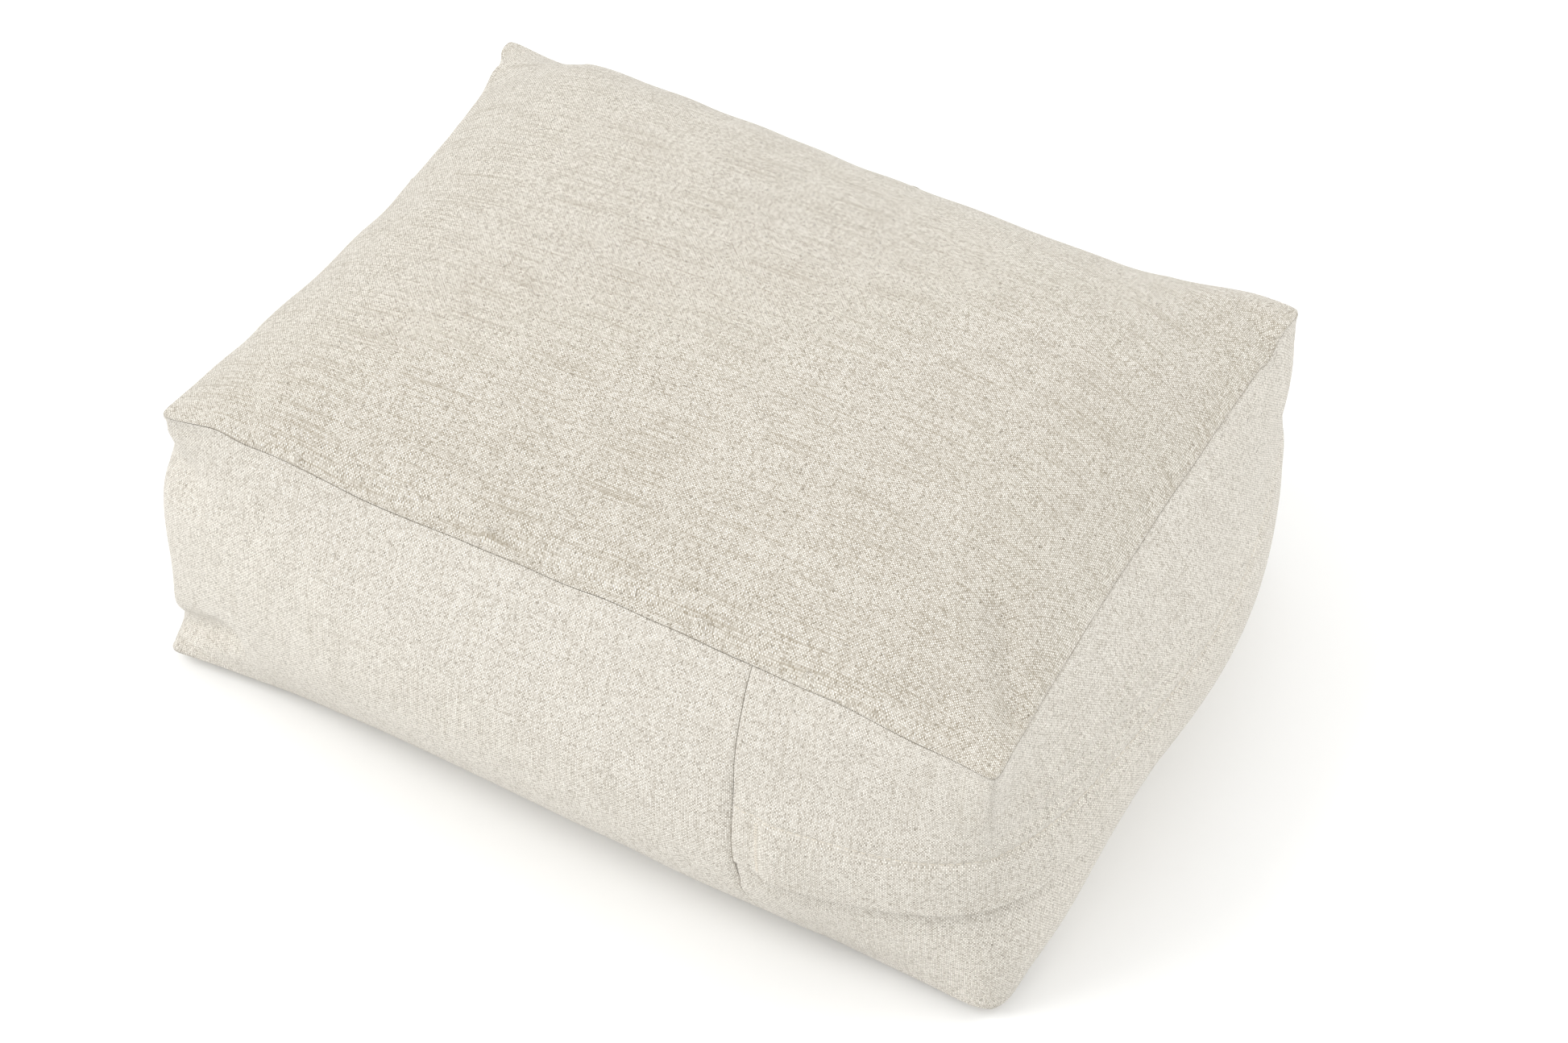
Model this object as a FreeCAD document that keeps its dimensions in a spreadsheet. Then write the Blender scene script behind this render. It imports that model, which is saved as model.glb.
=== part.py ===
# Floor cushion: a boxed linen cover with a concealed zip, over an inner case and its fill.
# Millimetres. The cushion rests on z = 0, its long side runs along X, and the origin is under its middle.
# The zip starts at an upright seam on the front (-Y), goes round the right side (+X) and ends at the
# matching seam on the back (+Y), where the closed slider is parked under the flap.
import FreeCAD, Part
import math
import os
import Sketcher
from FreeCAD import Placement, Rotation, Vector

DIMENSIONS = [
    ("length", 400, "long side, between the corners of the top seam"),
    ("width", 300, "short side, between the corners of the top seam"),
    ("low_seam", 6, "height of the bottom seam"),
    ("top_seam", 148, "height of the top seam"),
    ("crown", 46, "rise of the top above its seam"),
    ("crown_inset", 80, "from the top seam in to the level part of the crown"),
    ("crown_bow", 0.08, "growth of a crown contour's bow per mm of its inset"),
    ("crown_round", 0.6, "growth of a crown contour's corner radius per mm of its inset"),
    ("base_inset", 22, "from the bottom seam in to the part that rests on the floor"),
    ("seam_bow", 2, "how far a seam bows out between its corners"),
    ("belly_bow", 24, "how far a side bows out at half height"),
    ("seam_corner", 3, "corner radius at a seam"),
    ("belly_corner", 30, "corner radius at half height"),
    ("cloth", 1.2, "thickness of the cover cloth"),
    ("side_seam", 88, "upright seams of the boxing, from the middle of the long side"),
    ("seam_gap", 0.6, "gap between the boxing and the zip gusset in an upright seam"),
    ("zip_height", 73, "height of the zip's middle"),
    ("zip_depth", 3.6, "from the outer face of the band in to the middle of the tape"),
    ("tape_width", 14.5, "width of one zip tape"),
    ("tape_thickness", 0.6, "thickness of a zip tape"),
    ("tape_gap", 1.6, "gap between the two tapes"),
    ("coil_radius", 1.1, "outer radius of one coil"),
    ("coil_stand", 1.45, "from the middle of the tape out to the coil's middle"),
    ("coil_spread", 1.85, "from the zip's middle to the middle of a coil"),
    ("coil_start", 93, "where the coils end, from the middle of the long side"),
    ("stop_gap", 0.3, "gap between a zip stop and the end of its coil"),
    ("stop_length", 2.5, "length of a zip stop"),
    ("stop_height", 2.4, "how far a zip stop stands off the tape"),
    ("lying_gap", 0.05, "gap under what lies on the tape"),
    ("tape_end", 1, "from an upright seam to the end of the tapes"),
    ("lower_edge", 67.5, "height of the lower gusset's folded edge"),
    ("flap_edge", 64, "height of the flap's folded edge"),
    ("flap_full", 79, "height up to which the flap stands clear of the slider"),
    ("flap_stitch", 90, "height where the flap is back on the band"),
    ("flap_root", 110, "height from which the upper gusset follows the band"),
    ("flap_stand", 4.4, "how far the flap stands out from the band"),
    ("stitch_length", 2.6, "length of one stitch of the flap's topstitching"),
    ("stitch_pitch", 3.6, "distance from one stitch to the next"),
    ("stitch_radius", 0.3, "radius of the thread"),
    ("stitch_gap", 0.1, "gap between the thread and the cloth under it"),
    ("slider_place", 98, "pull's pivot with the zip closed, from the middle of the long side"),
    ("slider_tail", 4.0, "from the pull's pivot back to the closed end of the slider"),
    ("slider_nose", 6.4, "from the pull's pivot to the open end of the slider"),
    ("slider_half", 4.2, "half width of the slider"),
    ("slider_plate", 1.0, "thickness of the slider's two plates"),
    ("slider_back", 1.9, "from the tape's middle in to the slider's inner face"),
    ("slider_front", 4.1, "from the tape's middle out to the slider's outer face"),
    ("slider_cheek", 0.8, "thickness of the slider's side walls"),
    ("cheek_reach", 0.9, "from the tape's middle out to the edge of the side walls"),
    ("wedge_half", 0.5, "half width of the slider's dividing wedge"),
    ("wedge_length", 3.0, "length of the dividing wedge"),
    ("stud_radius", 1.2, "radius of the stud that carries the pull"),
    ("stud_head_radius", 2.2, "radius of the stud's head"),
    ("stud_head", 0.6, "thickness of the stud's head"),
    ("stud_top", 6.3, "from the tape's middle out to the top of the stud"),
    ("pull_gap", 0.3, "gap between the slider and the pull"),
    ("pull_thickness", 1.1, "thickness of the pull"),
    ("pull_eye", 1.4, "radius of the hole in the pull"),
    ("pull_top", 3.2, "radius of the pull's upper end"),
    ("pull_tip", 3.8, "radius of the pull's lower end"),
    ("pull_length", 23, "between the centres of the pull's two ends"),
    ("case_cloth", 0.8, "thickness of the inner case's cloth"),
    ("case_parting", 77, "height of the seam round the inner case"),
    ("case_gap", 0.2, "gap between the halves of the inner case, and between it and the fill"),
]

# Contours of the crown: share of its rise, share of its inset.
CROWN_CONTOURS = [(0, 0), (0.5, 0.1), (0.85, 0.4), (1, 1)]
# Contours of the band: share of the height between the seams, share of the belly.
BAND_CONTOURS = [(0, 0), (0.5, 1), (1, 0)]
# Contours of the inner case: share of the cushion's height, inset in mm, share of the belly.
CASE_CONTOURS = [
    (0.012, 34, 0.2),
    (0.09, 14, 0.55),
    (0.38, 9, 1.0),
    (0.70, 12, 0.5),
    (0.865, 24, 0.3),
    (0.945, 52, 0.2),
    (0.98, 92, 0.2),
]

START, END, CENTRE = 1, 2, 3
ORIGIN, X_AXIS, Y_AXIS = -1, -1, -2
UP = Vector(0, 0, 1)

doc = FreeCAD.newDocument("floor_cushion")
sheet = doc.addObject("Spreadsheet::Sheet", "dims")


def fill_sheet():
    for row, (alias, number, note) in enumerate(DIMENSIONS, start=1):
        sheet.set(f"A{row}", alias)
        sheet.set(f"B{row}", str(number))
        sheet.set(f"C{row}", note)
        sheet.setAlias(f"B{row}", alias)
    doc.recompute()


def value(expression):
    return float(sheet.evalExpression(str(expression)))


class Outline:
    """A level rectangle with bowed sides and round corners, held as expressions of the dimensions.

    inset draws the corners in, and grow then moves the whole outline out by the same amount everywhere.
    """

    def __init__(self, inset, bow, corner, grow=0):
        half_x = f"(dims.length / 2 - ({inset}))"
        half_y = f"(dims.width / 2 - ({inset}))"
        long_arc = f"((({half_x})^2 + ({bow})^2) / (2 * ({bow})))"
        short_arc = f"((({half_y})^2 + ({bow})^2) / (2 * ({bow})))"
        self.long_radius = f"{long_arc} + ({grow})"
        self.short_radius = f"{short_arc} + ({grow})"
        self.corner_radius = f"({corner}) + ({grow})"
        self.long_centre = f"({long_arc} - {half_y} - ({bow}))"
        self.short_centre = f"({short_arc} - {half_x} - ({bow}))"

    def arcs(self):
        """Centre, radius, first and last angle of the eight arcs, from the front round by the right."""
        long_radius = value(self.long_radius)
        short_radius = value(self.short_radius)
        corner_radius = value(self.corner_radius)
        front = Vector(0, value(self.long_centre), 0)
        right = Vector(-value(self.short_centre), 0, 0)
        reach_front = long_radius - corner_radius
        reach_right = short_radius - corner_radius
        between = right - front
        along = (reach_front**2 - reach_right**2 + between.Length**2) / (2 * between.Length)
        off = math.sqrt(reach_front**2 - along**2)
        unit = Vector(between).normalize()
        corner = front + unit * along + Vector(-unit.y, unit.x, 0) * off
        low = math.atan2(corner.y - front.y, corner.x - front.x)
        high = math.atan2(corner.y - right.y, corner.x - right.x)
        mirrored = Vector(corner.x, -corner.y, 0)
        return [
            (front, long_radius, -math.pi - low, low),
            (corner, corner_radius, low, high),
            (right, short_radius, high, -high),
            (mirrored, corner_radius, -high, -low),
            (front * -1, long_radius, -low, math.pi + low),
            (corner * -1, corner_radius, math.pi + low, math.pi + high),
            (right * -1, short_radius, math.pi + high, math.pi - high),
            (mirrored * -1, corner_radius, math.pi - high, math.pi - low),
        ]


def drive(sketch, kind, places, expression):
    """Adds a dimension to a sketch and binds it to an expression."""
    index = sketch.addConstraint(Sketcher.Constraint(kind, *places, value(expression)))
    sketch.setExpression(f"Constraints[{index}]", str(expression))


def add_arcs(sketch, arcs):
    for centre, radius, first, last in arcs:
        sketch.addGeometry(Part.ArcOfCircle(Part.Circle(centre, UP, radius), first, last), False)


def hold_side_arcs(sketch, outline, front, right, back):
    """Puts the side arcs' centres on the axes and drives their places and radii."""
    sketch.addConstraint(Sketcher.Constraint("PointOnObject", front, CENTRE, Y_AXIS))
    sketch.addConstraint(Sketcher.Constraint("PointOnObject", right, CENTRE, X_AXIS))
    sketch.addConstraint(Sketcher.Constraint("Symmetric", front, CENTRE, back, CENTRE, ORIGIN, START))
    sketch.addConstraint(Sketcher.Constraint("Equal", front, back))
    drive(sketch, "DistanceY", (ORIGIN, START, front, CENTRE), outline.long_centre)
    drive(sketch, "DistanceX", (right, CENTRE, ORIGIN, START), outline.short_centre)
    drive(sketch, "Radius", (front,), outline.long_radius)
    drive(sketch, "Radius", (right,), outline.short_radius)


def contour(name, height, outline):
    """A closed level outline as a sketch at its own height."""
    sketch = doc.addObject("Sketcher::SketchObject", name)
    add_arcs(sketch, outline.arcs())
    for index in range(8):
        sketch.addConstraint(Sketcher.Constraint("Tangent", index, END, (index + 1) % 8, START))
    hold_side_arcs(sketch, outline, 0, 2, 4)
    sketch.addConstraint(Sketcher.Constraint("Symmetric", 2, CENTRE, 6, CENTRE, ORIGIN, START))
    sketch.addConstraint(Sketcher.Constraint("Equal", 2, 6))
    for corner in (3, 5, 7):
        sketch.addConstraint(Sketcher.Constraint("Equal", 1, corner))
    drive(sketch, "Radius", (1,), outline.corner_radius)
    sketch.Placement = Placement(Vector(0, 0, value(height)), Rotation())
    sketch.setExpression("Placement.Base.z", str(height))
    return sketch


def loft(name, levels, ruled=False):
    """A solid through contours, each given as its height and its outline."""
    solid = doc.addObject("Part::Loft", name)
    solid.Sections = [contour(f"{name}_contour_{i}", *level) for i, level in enumerate(levels, start=1)]
    solid.Solid = True
    solid.Ruled = ruled
    return solid


def cut(name, base, tool):
    result = doc.addObject("Part::Cut", name)
    result.Base = base
    result.Tool = tool
    return result


def block(name, low, high):
    """A box between two corners, each three expressions."""
    box = doc.addObject("Part::Box", name)
    for side, first, last in zip(("Length", "Width", "Height"), low, high):
        box.setExpression(side, f"({last}) - ({first})")
    for letter, first in zip("xyz", low):
        box.setExpression(f"Placement.Base.{letter}", str(first))
    return box


def keep(name, base, low, high):
    """The part of a solid that lies in a box."""
    result = doc.addObject("Part::Common", name)
    result.Base = base
    result.Tool = block(f"{name}_limits", low, high)
    return result


def crown_levels(depth):
    levels = []
    for rise, share in CROWN_CONTOURS:
        inset = f"({depth} + {share} * dims.crown_inset)"
        drop = depth if rise else 0
        bow = f"dims.seam_bow + dims.crown_bow * {inset}"
        corner = f"dims.seam_corner + dims.crown_round * {inset}"
        levels.append((f"dims.top_seam + {rise} * dims.crown - {drop}", Outline(inset, bow, corner)))
    return levels


def band_outline(belly, grow):
    """The band's outline where it has this share of its belly, moved out by grow."""
    bow = f"dims.seam_bow + {belly} * (dims.belly_bow - dims.seam_bow)"
    corner = f"dims.seam_corner + {belly} * (dims.belly_corner - dims.seam_corner)"
    return Outline(0, bow, corner, grow)


def band_levels(grow):
    height = "dims.low_seam + {} * (dims.top_seam - dims.low_seam)"
    return [(height.format(share), band_outline(belly, grow)) for share, belly in BAND_CONTOURS]


def base_levels(depth):
    foot = f"dims.base_inset + {depth}"
    return [
        (depth, Outline(foot, "dims.seam_bow", f"dims.seam_corner + dims.base_inset")),
        ("dims.low_seam", Outline(depth, "dims.seam_bow", f"dims.seam_corner - {depth}")),
    ]


def belly_at(height):
    """Share of the belly that the band has at a height: a parabola between its seams."""
    share = f"(({height} - dims.low_seam) / (dims.top_seam - dims.low_seam))"
    return f"(4 * {share} * (1 - {share}))"


def flap_levels(depth):
    """The upper gusset, from the flap's folded edge up to its top seam."""
    stand = f"dims.flap_stand - {depth}"
    flap = [(height, band_outline(1, stand)) for height in ("dims.flap_edge", "dims.flap_full")]
    heights = ["dims.flap_stitch", "dims.flap_root", "(dims.flap_root + dims.top_seam) / 2", "dims.top_seam"]
    band = [(height, band_outline(belly_at(f"({height})"), f"-{depth}")) for height in heights]
    return flap + band


def case_levels(depth):
    levels = []
    last = len(CASE_CONTOURS) - 1
    for index, (share, inset, belly) in enumerate(CASE_CONTOURS):
        height = f"{share} * (dims.top_seam + dims.crown)"
        if index == 0:
            height += f" + {depth}"
        if index == last:
            height += f" - ({depth})"
        outline = Outline(f"({inset} + {depth})", f"{belly} * dims.belly_bow", f"dims.belly_corner - {depth}")
        levels.append((height, outline))
    return levels


def make_cover():
    """The five cloth pieces of the cover."""
    far = "dims.length"
    cut("cover_top_panel", loft("crown", crown_levels(0)), loft("crown_hollow", crown_levels("dims.cloth")))
    base_hollow = loft("base_hollow", base_levels("dims.cloth"), ruled=True)
    cut("cover_bottom_panel", loft("base", base_levels(0), ruled=True), base_hollow)

    ring = cut("band", loft("band_solid", band_levels(0)), loft("band_hollow", band_levels("-dims.cloth")))
    left_of_seam = "dims.side_seam - dims.seam_gap / 2"
    right_of_seam = "dims.side_seam + dims.seam_gap / 2"
    keep("boxing_strip", ring, (f"-{far}", f"-{far}", 0), (left_of_seam, far, far))
    keep("zip_gusset_lower", ring, (right_of_seam, f"-{far}", 0), (far, far, "dims.lower_edge"))

    flap_solid = loft("flap_solid", flap_levels(0), ruled=True)
    flap_hollow = loft("flap_hollow", flap_levels("dims.cloth"), ruled=True)
    flap_ring = cut("flap_ring", flap_solid, flap_hollow)
    keep("zip_gusset_upper", flap_ring, (right_of_seam, f"-{far}", 0), (far, far, far))


def make_inside():
    """The inner case, sewn round its middle from two halves, and the fill in it."""
    far = "dims.length"
    case_hollow = loft("case_hollow", case_levels("dims.case_cloth"))
    case = cut("case", loft("case_solid", case_levels(0)), case_hollow)
    above = "dims.case_parting + dims.case_gap / 2"
    below = "dims.case_parting - dims.case_gap / 2"
    keep("inner_case_upper", case, (f"-{far}", f"-{far}", above), (far, far, far))
    keep("inner_case_lower", case, (f"-{far}", f"-{far}", 0), (far, far, below))
    loft("fill", case_levels("(dims.case_cloth + dims.case_gap)"))


def plane_of(body, role):
    return next(item for item in body.Origin.OriginFeatures if item.Role == role)


def attach(body, name, role, offset=0):
    """A sketch on one of the body's own origin planes, offset along the plane's normal."""
    sketch = body.newObject("Sketcher::SketchObject", name)
    sketch.AttachmentSupport = [(plane_of(body, role), "")]
    sketch.MapMode = "FlatFace"
    sketch.AttachmentOffset = Placement(Vector(0, 0, value(offset)), Rotation())
    sketch.setExpression("AttachmentOffset.Base.z", str(offset))
    return sketch


def rectangle(sketch, left, low, right, high):
    """A rectangle in a sketch, each side driven from the sketch's origin."""
    corners = [(left, low), (right, low), (right, high), (left, high)]
    points = [Vector(value(x), value(y), 0) for x, y in corners]
    first = sketch.GeometryCount
    for index in range(4):
        sketch.addGeometry(Part.LineSegment(points[index], points[(index + 1) % 4]), False)
    for index in range(4):
        pair = (first + index, END, first + (index + 1) % 4, START)
        sketch.addConstraint(Sketcher.Constraint("Coincident", *pair))
    for index in (0, 2):
        sketch.addConstraint(Sketcher.Constraint("Horizontal", first + index))
        sketch.addConstraint(Sketcher.Constraint("Vertical", first + index + 1))
    drive(sketch, "DistanceX", (ORIGIN, START, first, START), left)
    drive(sketch, "DistanceY", (ORIGIN, START, first, START), low)
    drive(sketch, "DistanceX", (ORIGIN, START, first + 2, START), right)
    drive(sketch, "DistanceY", (ORIGIN, START, first + 2, START), high)


def circle(sketch, x, y, radius):
    index = sketch.addGeometry(Part.Circle(Vector(value(x), value(y), 0), UP, value(radius)), False)
    drive(sketch, "Radius", (index,), radius)
    drive(sketch, "DistanceX", (ORIGIN, START, index, CENTRE), x)
    drive(sketch, "DistanceY", (ORIGIN, START, index, CENTRE), y)


def pad(body, sketch, length, reverse=False):
    feature = body.newObject("PartDesign::Pad", f"{sketch.Name}_pad")
    feature.Profile = sketch
    feature.Length = value(length)
    feature.setExpression("Length", str(length))
    feature.Reversed = reverse
    doc.recompute()
    return feature


def zip_outline():
    """The line of the zip in plan: the band at full belly, moved in to the middle of the tape."""
    return band_outline(1, "-dims.zip_depth")


def arcs_from_seam(outline, start):
    """The five arcs of an outline round the right side, between the points with X = start."""
    arcs = outline.arcs()[:5]
    front, radius, _, low = arcs[0]
    first = -math.acos(value(start) / radius)
    arcs[0] = (front, radius, first, low)
    arcs[4] = (arcs[4][0], radius, -low, -first)
    return arcs


def zip_run(name, start, draw_profile):
    """A strip or cord of the zip, swept along its line from one upright seam to the other."""
    body = doc.addObject("PartDesign::Body", name)
    outline = zip_outline()
    spine = attach(body, f"{name}_line", "XY_Plane")
    add_arcs(spine, arcs_from_seam(outline, start))
    for index in range(4):
        spine.addConstraint(Sketcher.Constraint("Tangent", index, END, index + 1, START))
    hold_side_arcs(spine, outline, 0, 2, 4)
    spine.addConstraint(Sketcher.Constraint("Equal", 1, 3))
    drive(spine, "Radius", (1,), outline.corner_radius)
    drive(spine, "DistanceX", (ORIGIN, START, 0, START), start)
    drive(spine, "DistanceX", (ORIGIN, START, 4, END), start)
    profile = attach(body, f"{name}_profile", "YZ_Plane", start)
    line_y = f"({outline.long_centre} - sqrt(({outline.long_radius})^2 - ({start})^2))"
    draw_profile(profile, line_y)
    doc.recompute()
    pipe = body.newObject("PartDesign::AdditivePipe", f"{name}_sweep")
    pipe.Profile = profile
    pipe.Spine = (spine, [f"Edge{index}" for index in range(1, 6)])
    body.setExpression("Placement.Base.z", "dims.zip_height")
    doc.recompute()


def make_zip():
    """Both halves of the zip: a tape and a coil each."""

    def tape(side):
        def draw(profile, line_y):
            edges = ["dims.tape_gap / 2", "dims.tape_gap / 2 + dims.tape_width"]
            low, high = edges if side > 0 else [f"-({edge})" for edge in reversed(edges)]
            half = "dims.tape_thickness / 2"
            rectangle(profile, f"{line_y} - {half}", low, f"{line_y} + {half}", high)

        return draw

    def coil(side):
        def draw(profile, line_y):
            circle(profile, f"{line_y} - dims.coil_stand", f"{side} * dims.coil_spread", "dims.coil_radius")

        return draw

    for side, name in ((1, "upper"), (-1, "lower")):
        zip_run(f"zip_tape_{name}", "dims.side_seam + dims.tape_end", tape(side))
        zip_run(f"zip_coil_{name}", "dims.coil_start", coil(side))


def make_topstitch():
    """The row of stitches along the top of the flap: short threads that lie just off the cloth."""
    height = "dims.flap_stitch"
    outline = band_outline(belly_at(height), "dims.stitch_radius + dims.stitch_gap")
    arcs = arcs_from_seam(outline, "dims.side_seam + dims.tape_end")
    circles = [(Part.Circle(centre, UP, radius), first, last) for centre, radius, first, last in arcs]
    line = Part.Wire([Part.ArcOfCircle(*arc).toShape() for arc in circles])
    places = line.discretize(Distance=value("dims.stitch_pitch"))
    radius = value("dims.stitch_radius")
    length = value("dims.stitch_length")
    threads = []
    for here, there in zip(places, places[1:]):
        along = (there - here).normalize()
        start = (here + there - along * length) / 2 + UP * value(height)
        threads.append(Part.makeCylinder(radius, length, start, along))
    row = doc.addObject("Part::Feature", "flap_topstitch")
    row.Shape = Part.makeCompound(threads)
    row.Placement = Placement()


def put_on_zip(body, place, back):
    """Stands a body on the line of the zip: its own X along the zip, Y out of the cushion, Z up."""
    outline = zip_outline()
    side = 1 if back else -1
    lean = f"asin(({place}) / ({outline.long_radius}))"
    body.Placement = Placement(Vector(), Rotation(UP, 1))
    body.setExpression("Placement.Rotation.Angle", f"{0 if back else 180} deg - {side} * {lean}")
    body.setExpression("Placement.Base.x", str(place))
    reach = f"sqrt(({outline.long_radius})^2 - ({place})^2)"
    body.setExpression("Placement.Base.y", f"{side} * ({reach} - {outline.long_centre})")
    body.setExpression("Placement.Base.z", "dims.zip_height")


def slab(body, name, low, high):
    """Adds a box between two corners to a body, each corner three expressions."""
    sketch = attach(body, name, "XY_Plane", low[2])
    rectangle(sketch, low[0], low[1], high[0], high[1])
    return pad(body, sketch, f"({high[2]}) - ({low[2]})")


def stud(body, name, radius, low, high):
    """Adds a round stud along the body's Y to it."""
    sketch = attach(body, name, "XZ_Plane", f"-({low})")
    circle(sketch, 0, 0, radius)
    return pad(body, sketch, f"({high}) - ({low})", reverse=True)


def make_stops():
    """The closed stop at the zip's front end, and the pair of small stops at its back end."""
    stand = "dims.tape_thickness / 2 + dims.lying_gap"
    rise = f"{stand} + dims.stop_height"
    place = "dims.coil_start - dims.stop_gap - dims.stop_length / 2"
    half = "dims.stop_length / 2"
    outer = "dims.coil_spread + dims.coil_radius"
    inner = "dims.coil_spread - dims.coil_radius"
    spans = {
        "zip_bottom_stop": (f"-({outer})", outer, False),
        "zip_top_stop_upper": (inner, outer, True),
        "zip_top_stop_lower": (f"-({outer})", f"-({inner})", True),
    }
    for name, (low, high, back) in spans.items():
        body = doc.addObject("PartDesign::Body", name)
        slab(body, f"{name}_block", (f"-{half}", stand, low), (half, rise, high))
        put_on_zip(body, place, back)


def make_slider():
    """The slider: two plates joined by the wedge that parts the coils, side walls and the pull's stud."""
    body = doc.addObject("PartDesign::Body", "zip_slider")
    tail, nose = "-dims.slider_tail", "dims.slider_nose"
    half, cheek = "dims.slider_half", "dims.slider_half - dims.slider_cheek"
    inner_plate = "-dims.slider_back + dims.slider_plate"
    outer_plate = "dims.slider_front - dims.slider_plate"
    slab(body, "inner_plate", (tail, "-dims.slider_back", f"-{half}"), (nose, inner_plate, half))
    wedge = f"{nose} - dims.wedge_length"
    slab(body, "wedge", (wedge, inner_plate, "-dims.wedge_half"), (nose, outer_plate, "dims.wedge_half"))
    slab(body, "outer_plate", (tail, outer_plate, f"-{half}"), (nose, "dims.slider_front", half))
    slab(body, "upper_cheek", (tail, "dims.cheek_reach", cheek), (nose, outer_plate, half))
    slab(body, "lower_cheek", (tail, "dims.cheek_reach", f"-{half}"), (nose, outer_plate, f"-({cheek})"))
    stud(body, "stud_shank", "dims.stud_radius", "dims.slider_front", "dims.stud_top - dims.stud_head")
    stud(body, "stud_head_disc", "dims.stud_head_radius", "dims.stud_top - dims.stud_head", "dims.stud_top")
    put_on_zip(body, "dims.slider_place", True)


def make_pull():
    """The pull tab, hanging from the stud: two round ends joined by tangent lines."""
    body = doc.addObject("PartDesign::Body", "zip_pull")
    back = "dims.slider_front + dims.pull_gap"
    sketch = attach(body, "pull_shape", "XZ_Plane", f"-({back})")
    top, tip, drop = value("dims.pull_top"), value("dims.pull_tip"), value("dims.pull_length")
    lean = math.asin((tip - top) / drop)
    low = Vector(0, -drop, 0)
    sketch.addGeometry(Part.ArcOfCircle(Part.Circle(Vector(), UP, top), lean, math.pi - lean), False)
    sketch.addGeometry(Part.ArcOfCircle(Part.Circle(low, UP, tip), math.pi - lean, 2 * math.pi + lean), False)
    side = Vector(math.cos(lean), math.sin(lean), 0)
    mirrored = Vector(-side.x, side.y, 0)
    sketch.addGeometry(Part.LineSegment(mirrored * top, low + mirrored * tip), False)
    sketch.addGeometry(Part.LineSegment(low + side * tip, side * top), False)
    for first, second in ((0, 2), (2, 1), (1, 3), (3, 0)):
        sketch.addConstraint(Sketcher.Constraint("Tangent", first, END, second, START))
    sketch.addConstraint(Sketcher.Constraint("Coincident", 0, CENTRE, ORIGIN, START))
    sketch.addConstraint(Sketcher.Constraint("PointOnObject", 1, CENTRE, Y_AXIS))
    drive(sketch, "DistanceY", (1, CENTRE, ORIGIN, START), "dims.pull_length")
    drive(sketch, "Radius", (0,), "dims.pull_top")
    drive(sketch, "Radius", (1,), "dims.pull_tip")
    circle_index = sketch.addGeometry(Part.Circle(Vector(), UP, value("dims.pull_eye")), False)
    sketch.addConstraint(Sketcher.Constraint("Coincident", circle_index, CENTRE, ORIGIN, START))
    drive(sketch, "Radius", (circle_index,), "dims.pull_eye")
    pad(body, sketch, "dims.pull_thickness", reverse=True)
    put_on_zip(body, "dims.slider_place", True)


NODES = [
    "cover_top_panel",
    "cover_bottom_panel",
    "boxing_strip",
    "zip_gusset_upper",
    "zip_gusset_lower",
    "zip_tape_upper",
    "zip_tape_lower",
    "zip_coil_upper",
    "zip_coil_lower",
    "zip_bottom_stop",
    "zip_top_stop_upper",
    "zip_top_stop_lower",
    "zip_slider",
    "zip_pull",
    "flap_topstitch",
    "inner_case_upper",
    "inner_case_lower",
    "fill",
]


def check_and_write():
    """Stops on any failed object, then writes each sub-part as one STEP file."""
    doc.recompute()
    failed = [item.Name for item in doc.Objects if {"Invalid", "Error"} & set(item.State)]
    if failed:
        raise RuntimeError(f"failed objects: {failed}")
    os.makedirs("parts", exist_ok=True)
    for name in NODES:
        item = doc.getObject(name)
        shape = item.Shape
        if shape.isNull() or not shape.isValid() or not shape.Solids:
            raise RuntimeError(f"{name} has no valid solid")
        item.Label = name
        box = shape.optimalBoundingBox(False)
        size = f"{box.XLength:.1f} x {box.YLength:.1f} x {box.ZLength:.1f}"
        print(f"{name}: {len(shape.Solids)} solid, {shape.Volume:.1f} mm3, {size} mm")
        shape.exportStep(f"parts/{name}.step")


fill_sheet()
make_cover()
make_inside()
make_zip()
make_topstitch()
make_stops()
make_slider()
make_pull()
check_and_write()
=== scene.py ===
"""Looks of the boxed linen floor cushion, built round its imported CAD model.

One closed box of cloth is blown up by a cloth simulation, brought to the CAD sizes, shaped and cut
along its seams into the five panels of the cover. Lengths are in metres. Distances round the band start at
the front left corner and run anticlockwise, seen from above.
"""

import math

import bmesh
import bpy
import numpy as np
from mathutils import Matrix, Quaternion, Vector


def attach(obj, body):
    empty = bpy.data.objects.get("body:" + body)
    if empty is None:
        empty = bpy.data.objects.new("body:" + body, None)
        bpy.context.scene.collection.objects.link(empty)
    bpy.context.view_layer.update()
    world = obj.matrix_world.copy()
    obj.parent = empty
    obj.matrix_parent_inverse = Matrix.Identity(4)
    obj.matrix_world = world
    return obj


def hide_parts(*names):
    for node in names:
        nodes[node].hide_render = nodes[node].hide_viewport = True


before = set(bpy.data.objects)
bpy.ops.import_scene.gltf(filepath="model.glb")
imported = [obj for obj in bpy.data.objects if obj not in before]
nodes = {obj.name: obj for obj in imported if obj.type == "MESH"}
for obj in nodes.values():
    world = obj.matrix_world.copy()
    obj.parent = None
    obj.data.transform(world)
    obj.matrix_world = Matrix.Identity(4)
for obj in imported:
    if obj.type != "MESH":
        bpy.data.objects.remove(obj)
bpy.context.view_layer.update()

# -------- sizes of the CAD model
HALF_X = 0.200
HALF_Y = 0.150
LOW_SEAM = 0.006
TOP_SEAM = 0.148
CROWN_TOP = 0.194
BELLY_BOW = 0.024
SIDE_SEAM = 0.088
ZIP_HEIGHT = 0.073
LOWER_EDGE = 0.0675
FLAP_EDGE = 0.064
FLAP_STITCH = 0.090
FLAP_STAND = 0.0044
CLOTH = 0.0012
STITCH_LENGTH = 0.0026
STITCH_PITCH = 0.0036
STITCH_RADIUS = 0.00030
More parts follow.
